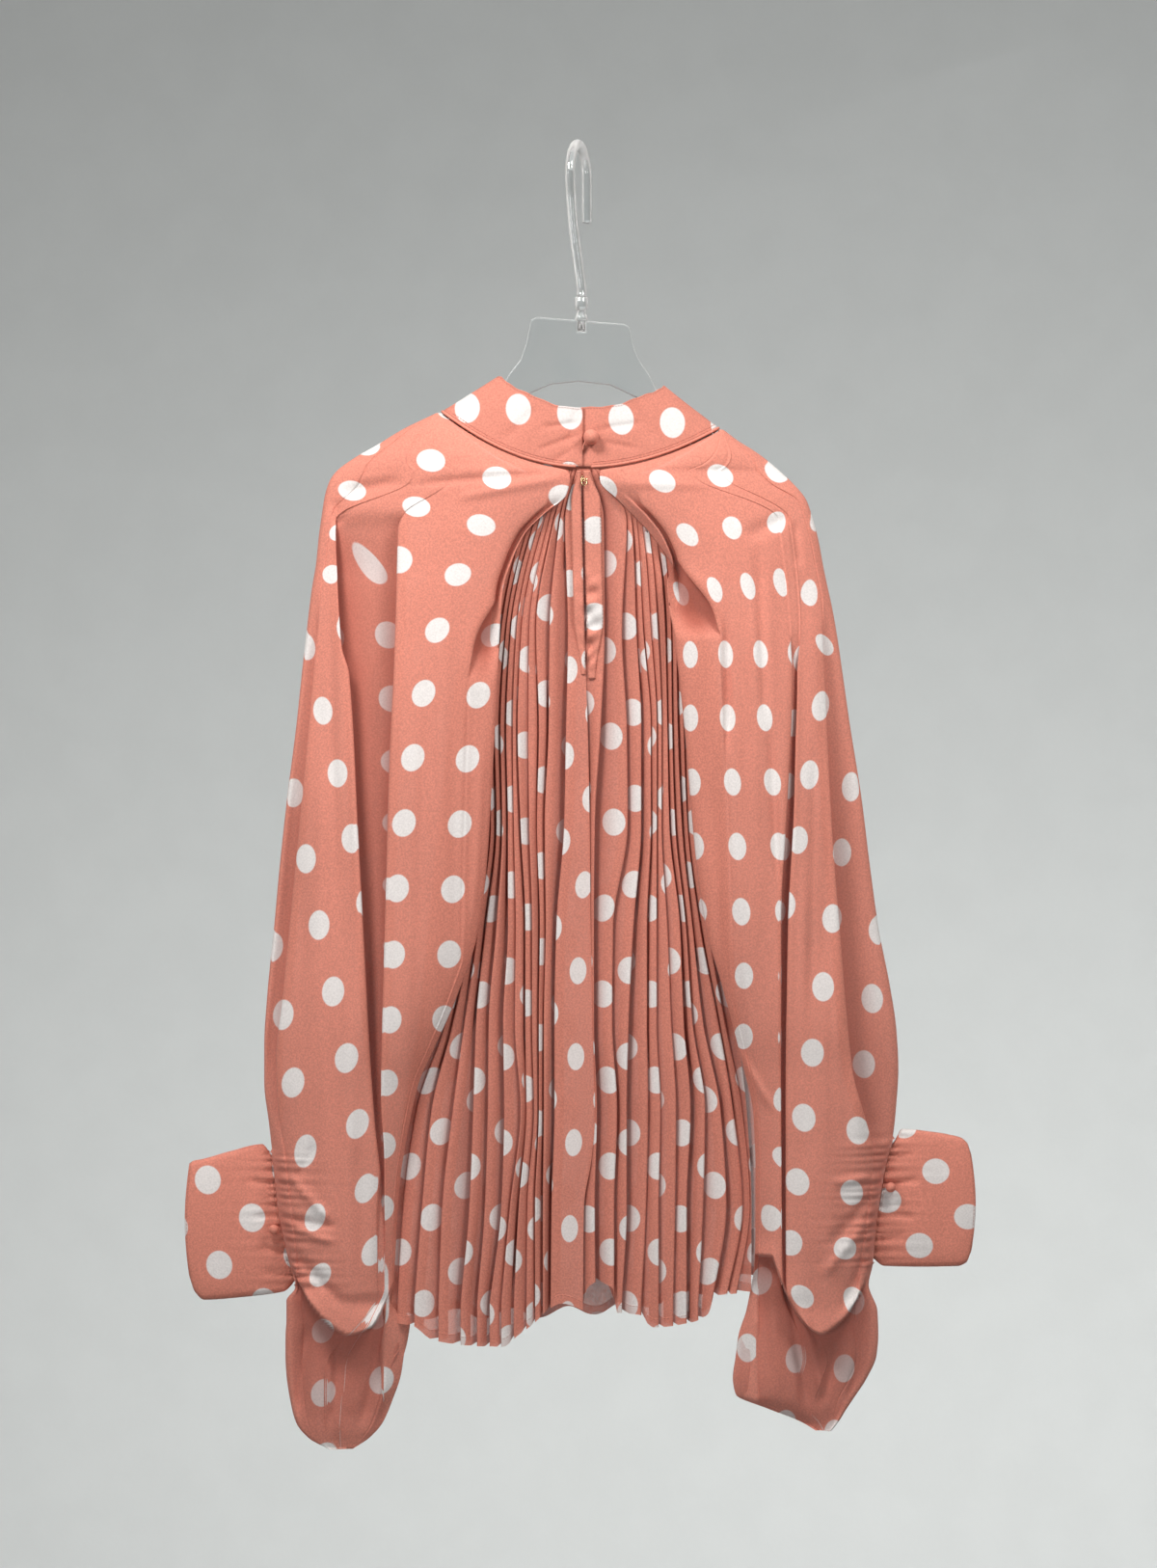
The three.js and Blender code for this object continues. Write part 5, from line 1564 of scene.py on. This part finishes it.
class BLOUSE_PG_cloth(bpy.types.PropertyGroup):
    ground: bpy.props.FloatVectorProperty(
        name="Ground", description="Colour of the crepe", default=(0.77, 0.275, 0.2), subtype="COLOR",
        min=0, max=1)
    dot: bpy.props.FloatVectorProperty(
        name="Dot", description="Colour of the dots", default=(0.87, 0.82, 0.80), subtype="COLOR", min=0, max=1)
    opacity: bpy.props.FloatProperty(
        name="Cover", description="Share of the light that one layer of crepe stops", default=0.87, min=0.4, max=1,
        subtype="FACTOR")
    dot_size: bpy.props.FloatProperty(
        name="Dot size", description="Width across a dot", default=DOT / 1000, unit="LENGTH")
    body_dots: bpy.props.FloatProperty(
        name="Body dot spacing", description="Between dots along the pleated body's bias",
        default=BODY_PITCH / 1000, unit="LENGTH")


class BLOUSE_PG_pleats(bpy.types.PropertyGroup):
    pleat_under: bpy.props.FloatProperty(
        name="Pleat underlay", description="How far a pleat lies back under its edge", default=PLEAT_UNDER / 1000,
        unit="LENGTH")
    pleat_depth: bpy.props.FloatProperty(
        name="Pleat depth", description="From a pleat's edge back to the next face", default=PLEAT_DEEP / 1000,
        unit="LENGTH")
    wall: bpy.props.FloatProperty(
        name="Doubled cloth", description="Wall of collar, cuffs and strips", default=0.0011, unit="LENGTH")


class BLOUSE_PG_trims(bpy.types.PropertyGroup):
    stitch_step: bpy.props.FloatProperty(
        name="Stitch step", description="From one stitch to the next", default=STITCH / 1000, unit="LENGTH")
    stitch_length: bpy.props.FloatProperty(
        name="Stitch length", description="Length of one stitch", default=0.0017, unit="LENGTH")
    thread: bpy.props.FloatProperty(
        name="Thread", description="Radius of the thread", default=0.00022, unit="LENGTH")
    brass: bpy.props.FloatVectorProperty(
        name="Hook metal", description="Colour of the small hook", default=(0.78, 0.60, 0.34), subtype="COLOR",
        min=0, max=1)


class BLOUSE_PG_stage(bpy.types.PropertyGroup):
    wall_colour: bpy.props.FloatVectorProperty(
        name="Wall", description="Colour of the wall behind", default=(0.60, 0.615, 0.605), subtype="COLOR",
        min=0, max=1)
    distance: bpy.props.FloatProperty(
        name="Camera distance", description="From the camera to the blouse", default=3.22, unit="LENGTH")
    key_power: bpy.props.FloatProperty(
        name="Key light", description="Power of the light above and in front", default=11.0, min=0, unit="POWER")


_materials = {}


def finish_of(name):
    """The named finish, made once from the settings."""
    if name in _materials:
        return _materials[name]
    cloth = bpy.context.scene.blouse_cloth
    ground, dot = tuple(cloth.ground), tuple(cloth.dot)
    share = cloth.dot_size * 1000 / PITCH / 2
    body_share = cloth.dot_size / cloth.body_dots / 2
    stage, trims = bpy.context.scene.blouse_stage, bpy.context.scene.blouse_trims
    makers = {
        # fold=0.8 sets how far the painted shade in folds darkens the sleeves and the body.
        "crepe_sleeve": lambda: crepe(name, ground, dot, cloth.opacity, share, fold=0.8),
        "crepe_body": lambda: crepe(name, ground, dot, cloth.opacity - 0.04, body_share, band=6.5, fold=0.8),
        "crepe_double": lambda: crepe(name, times(0.98, ground), dot, DOUBLED, body_share, band=1.2, press=True),
        # Painted shade: the collar's ground is made 0.8 and its dots 0.86 as bright as the rest of the cloth.
        "crepe_collar": lambda: crepe(
            name, times(0.8, ground), times(0.86, dot), DOUBLED, 0.245, band=2.0, press=True),
        "crepe_cuff": lambda: crepe(name, ground, dot, DOUBLED, 0.235, band=2.0, press=True),
        "crepe_plain": lambda: crepe(name, times(0.95, ground), dot, 1.0),
        "thread": lambda: thread_finish(name, times(0.88, ground)),
        "brass": lambda: metal(name, tuple(trims.brass)),
        "acrylic": lambda: clear_acrylic(name),
        "wall": lambda: painted_wall(name, tuple(stage.wall_colour)),
    }
    _materials[name] = makers[name]()
    return _materials[name]


class BLOUSE_OT_sleeves(bpy.types.Operator):
    """Both raglan sleeves, from the neck seam over the shoulder to the pouch below the cuff"""
    bl_idname = "blouse.sleeves"
    bl_label = "Sleeves"

    def execute(self, context):
        for half, word in ((LEFT, "left"), (RIGHT, "right")):
            piece = half.build("sleeve_cloth_" + word)
            finished(piece, finish_of("crepe_sleeve"), ["sleeve_" + word])
        return {"FINISHED"}


class BLOUSE_OT_back(bpy.types.Operator):
    """Both pleated back panels, fanned from the neck"""
    bl_idname = "blouse.back"
    bl_label = "Pleated back"

    def execute(self, context):
        settings, pitch = context.scene.blouse_pleats, context.scene.blouse_cloth.body_dots
        for half in (LEFT_BACK, RIGHT_BACK):
            piece = half.build("back_cloth_" + half.word, settings, pitch)
            finished(piece, finish_of("crepe_body"), ["back_panel_" + half.word])
        return {"FINISHED"}


class BLOUSE_OT_front(bpy.types.Operator):
    """The far panel, seen through the sheer back"""
    bl_idname = "blouse.front"
    bl_label = "Front panel"

    def execute(self, context):
        piece = make_front("front_cloth", context.scene.blouse_cloth.body_dots)
        finished(piece, finish_of("crepe_body"), ["front_panel"])
        return {"FINISHED"}


class BLOUSE_OT_bands(bpy.types.Operator):
    """Collar stand, cuffs and the strips beside the slit, of doubled cloth"""
    bl_idname = "blouse.bands"
    bl_label = "Collar, cuffs and strips"

    def execute(self, context):
        wall = context.scene.blouse_pleats.wall
        collar = thicken(make_collar("collar_cloth"), wall)
        finished(collar, finish_of("crepe_collar"), ["collar_stand"])
        for sizes, word in ((LEFT_CUFF, "left"), (RIGHT_CUFF, "right")):
            cuff = thicken(make_cuff("cuff_cloth_" + word, sizes), wall)
            finished(cuff, finish_of("crepe_cuff"), ["cuff_" + word])
        for side, word in ((-1, "left"), (1, "right")):
            strip = thicken(make_placket("placket_cloth_" + word, side), 0.7 * wall)
            finished(strip, finish_of("crepe_double"), ["placket_" + word])
        return {"FINISHED"}


class BLOUSE_OT_fastenings(bpy.types.Operator):
    """Covered buttons, the thread loop and the small metal hook"""
    bl_idname = "blouse.fastenings"
    bl_label = "Buttons, loop and hook"

    def execute(self, context):
        for node, x, y, z, radius in (
            ("neck_button", 9.0, -27.45, -210.7, 5.4),
            ("cuff_button_left", -220.5, -9.85, -783.0, 3.6),
            ("cuff_button_right", 226.0, -9.85, -752.5, 3.6),
        ):
            ball = covered_ball(node + "_ball", x, y, z, radius)
            finished(ball, finish_of("crepe_plain"), [node])
        turn = np.linspace(0, 2 * math.pi, 41)
        loop = np.stack([9 + 4.8 * np.cos(turn), -23.4 + 0 * turn, -210.7 + 4.8 * np.sin(turn)], axis=-1)
        tail = smooth_path([(5.2, -23.6, -213.6), (3.6, -24.2, -217), (3.2, -24.4, -220)], 6)
        pieces = [tube("loop_a", loop, 0.7, 10, cap=False), tube("loop_b", tail, 0.65, 10)]
        finished(join("neck_loop_cord", pieces), finish_of("crepe_plain"), ["neck_loop"])
        wire = smooth_path([
            (2.6, -26.1, -239.0), (2.2, -26.6, -241.5), (2.3, -27.3, -244.4), (4.0, -27.7, -245.6),
            (5.7, -27.3, -244.4), (5.8, -26.6, -241.5), (5.4, -26.1, -239.0)], 8)
        eye = smooth_path([(4.0, -26.4, -240.0), (3.3, -26.9, -241.4), (4.0, -27.0, -242.8), (4.7, -26.9, -241.4),
                           (4.0, -26.4, -240.0)], 6)
        pieces = [tube("hook_a", wire, 0.42, 12), tube("hook_b", eye, 0.32, 10)]
        finished(join("neck_hook_wire", pieces), finish_of("brass"), ["neck_hook"])
        return {"FINISHED"}


class BLOUSE_OT_stitching(bpy.types.Operator):
    """Rolled seam round the neck and the row of stitches above it"""
    bl_idname = "blouse.stitching"
    bl_label = "Seam rolls and stitches"

    def execute(self, context):
        trims = context.scene.blouse_trims
        sizes = (trims.stitch_step * 1000, trims.stitch_length * 1000, trims.thread * 1000)
        collar = collar_grid(40, 420)
        roll = collar[0] + [0, 0, -0.2]
        roll[:, 1] += np.sign(roll[:, 1]) * 0.5
        keep = roll[8:-2]
        finished(tube("neck_roll", keep[::2], 0.95, 10), finish_of("crepe_plain"))
        row = collar[3]
        outward = np.stack([0.3 * (row[:, 0] - CENTRE) / 60, row[:, 1] / 22, 0 * row[:, 0]], axis=-1)
        row = row + 0.25 * outward / np.linalg.norm(outward, axis=1)[:, None]
        stitches = stitched("collar_stitches", [row[10:-4]], finish_of("thread"), *sizes)
        finished(stitches, finish_of("thread"))
        return {"FINISHED"}


class BLOUSE_OT_hanger(bpy.types.Operator):
    """Clear hanger: bent rod, turned cup and cut plate"""
    bl_idname = "blouse.hanger"
    bl_label = "Hanger"

    def execute(self, context):
        clear = finish_of("acrylic")
        finished(make_rod("hanger_rod"), clear, ["hanger_hook"])
        finished(make_cup("hanger_cup"), clear, ["hanger_ferrule"])
        board = finished(make_board("hanger_board"), clear, ["hanger_plate"])
        board.data.polygons.foreach_set("use_smooth", [False] * len(board.data.polygons))
        return {"FINISHED"}


class BLOUSE_OT_sheets(bpy.types.Operator):
    """Does nothing"""
    bl_idname = "blouse.sheets"
    bl_label = "Cloth sizes"

    def execute(self, context):
        return {"FINISHED"}


def panel_light(name, size, power, place, target, colour=(1, 1, 1)):
    data = bpy.data.lights.new(name, "AREA")
    data.shape = "RECTANGLE"
    data.size, data.size_y = size
    data.energy = power
    data.color = colour
    obj = bpy.data.objects.new(name, data)
    obj.location = place
    obj.rotation_euler = (Vector(target) - Vector(place)).to_track_quat("-Z", "Y").to_euler()
    bpy.context.scene.collection.objects.link(obj)
    return obj


def flat_grid(name, corner, across, up_edge, steps=24):
    """A flat grid from a corner and two edges, in millimetres."""
    s = np.linspace(0, 1, steps)
    points = (np.array(corner)[None, None, :] + s[:, None, None] * np.array(up_edge)
              + s[None, :, None] * np.array(across)).reshape(-1, 3)
    quads = grid_faces(steps, steps)
    return from_arrays(name, points, np.concatenate([quads[:, [0, 1, 2]], quads[:, [0, 2, 3]]]))


class BLOUSE_OT_stage(bpy.types.Operator):
    """Pale wall and floor, soft studio light and the camera"""
    bl_idname = "blouse.stage"
    bl_label = "Stage"

    def execute(self, context):
        settings = context.scene.blouse_stage
        wall = flat_grid("stage_wall", (-7000, 4300, -2300), (14000, 0, 0), (0, 0, 7000))
        floor = flat_grid("stage_floor", (-7000, -7000, -2300), (14000, 0, 0), (0, 11300, 0))
        for piece in (wall, floor):
            piece.data.materials.append(finish_of("wall"))
        power, warm, chest, cuffs = settings.key_power, (1.0, 0.985, 0.96), (0.0, 0.0, -0.6), (0.2, 0.0, -0.78)
        panel_light("key_left", (0.36, 0.3), power, (-0.5, -0.62, 0.4), chest, warm)
        panel_light("key_right", (0.36, 0.3), power * 0.8, (0.55, -0.64, 0.4), chest, warm)
        panel_light("fill", (3.0, 2.0), power * 0.35, (0.2, -3.4, 0.6), (0.0, 0.0, -0.5))
        panel_light("wash", (5.0, 0.8), power * 17, (0.9, 1.4, -2.2), (0.9, 4.3, -0.6))
        panel_light("low_left", (0.5, 0.4), power * 0.5, (-0.9, -1.5, -0.9), (-cuffs[0], *cuffs[1:]))
        panel_light("low_right", (0.5, 0.4), power * 0.3, (0.9, -1.6, -0.9), cuffs)
        panel_light("far_fill", (3.0, 2.0), power * 0.5, (-0.6, 3.6, 1.6), (0.0, 0.0, -0.5))
        for word, x in (("left", -1.15), ("right", 1.15)):
            panel_light("strip_" + word, (0.05, 1.1), power * 0.12, (x, 0.25, -0.2), (0.0, 0.0, -0.25))
        world = bpy.data.worlds.new("room")
        world.use_nodes = True
        background = world.node_tree.nodes["Background"]
        background.inputs["Color"].default_value = (0.80, 0.82, 0.82, 1)
        background.inputs["Strength"].default_value = 0.09
        context.scene.world = world
        camera = bpy.data.cameras.new("camera")
        camera.sensor_width = 36.0
        camera.lens = camera.sensor_width * settings.distance / VIEW_HEIGHT
        camera.clip_end = 40.0
        obj = bpy.data.objects.new("camera", camera)
        obj.location = (0.0, -settings.distance, float(up(VIEW_ROW)) / 1000)
        obj.rotation_euler = (math.pi / 2, 0, 0)
        context.scene.collection.objects.link(obj)
        context.scene.camera = obj
        context.scene.view_settings.view_transform = "Standard"
        return {"FINISHED"}


STEPS = (
    BLOUSE_OT_stage, BLOUSE_OT_sleeves, BLOUSE_OT_back, BLOUSE_OT_front, BLOUSE_OT_bands,
    BLOUSE_OT_fastenings, BLOUSE_OT_stitching, BLOUSE_OT_hanger, BLOUSE_OT_sheets,
)
GROUPS = (
    ("blouse_cloth", BLOUSE_PG_cloth), ("blouse_pleats", BLOUSE_PG_pleats),
    ("blouse_trims", BLOUSE_PG_trims), ("blouse_stage", BLOUSE_PG_stage),
)


class BLOUSE_PT_panel(bpy.types.Panel):
    """Lists the settings and the steps"""
    bl_idname = "BLOUSE_PT_panel"
    bl_label = "Blouse"
    bl_space_type = "VIEW_3D"
    bl_region_type = "UI"
    bl_category = "Blouse"

    def draw(self, context):
        for name, group in GROUPS:
            box = self.layout.box()
            for key in group.__annotations__:
                box.prop(getattr(context.scene, name), key)
        for step in STEPS:
            self.layout.operator(step.bl_idname)


def register():
    for name, group in GROUPS:
        bpy.utils.register_class(group)
        setattr(bpy.types.Scene, name, bpy.props.PointerProperty(type=group))
    for step in STEPS:
        bpy.utils.register_class(step)
    bpy.utils.register_class(BLOUSE_PT_panel)


def unregister():
    bpy.utils.unregister_class(BLOUSE_PT_panel)
    for step in reversed(STEPS):
        bpy.utils.unregister_class(step)
    for name, group in reversed(GROUPS):
        delattr(bpy.types.Scene, name)
        bpy.utils.unregister_class(group)


def main():
    register()
    for step in STEPS:
        group, call = step.bl_idname.split(".")
        getattr(getattr(bpy.ops, group), call)()


if __name__ == "__main__":
    main()
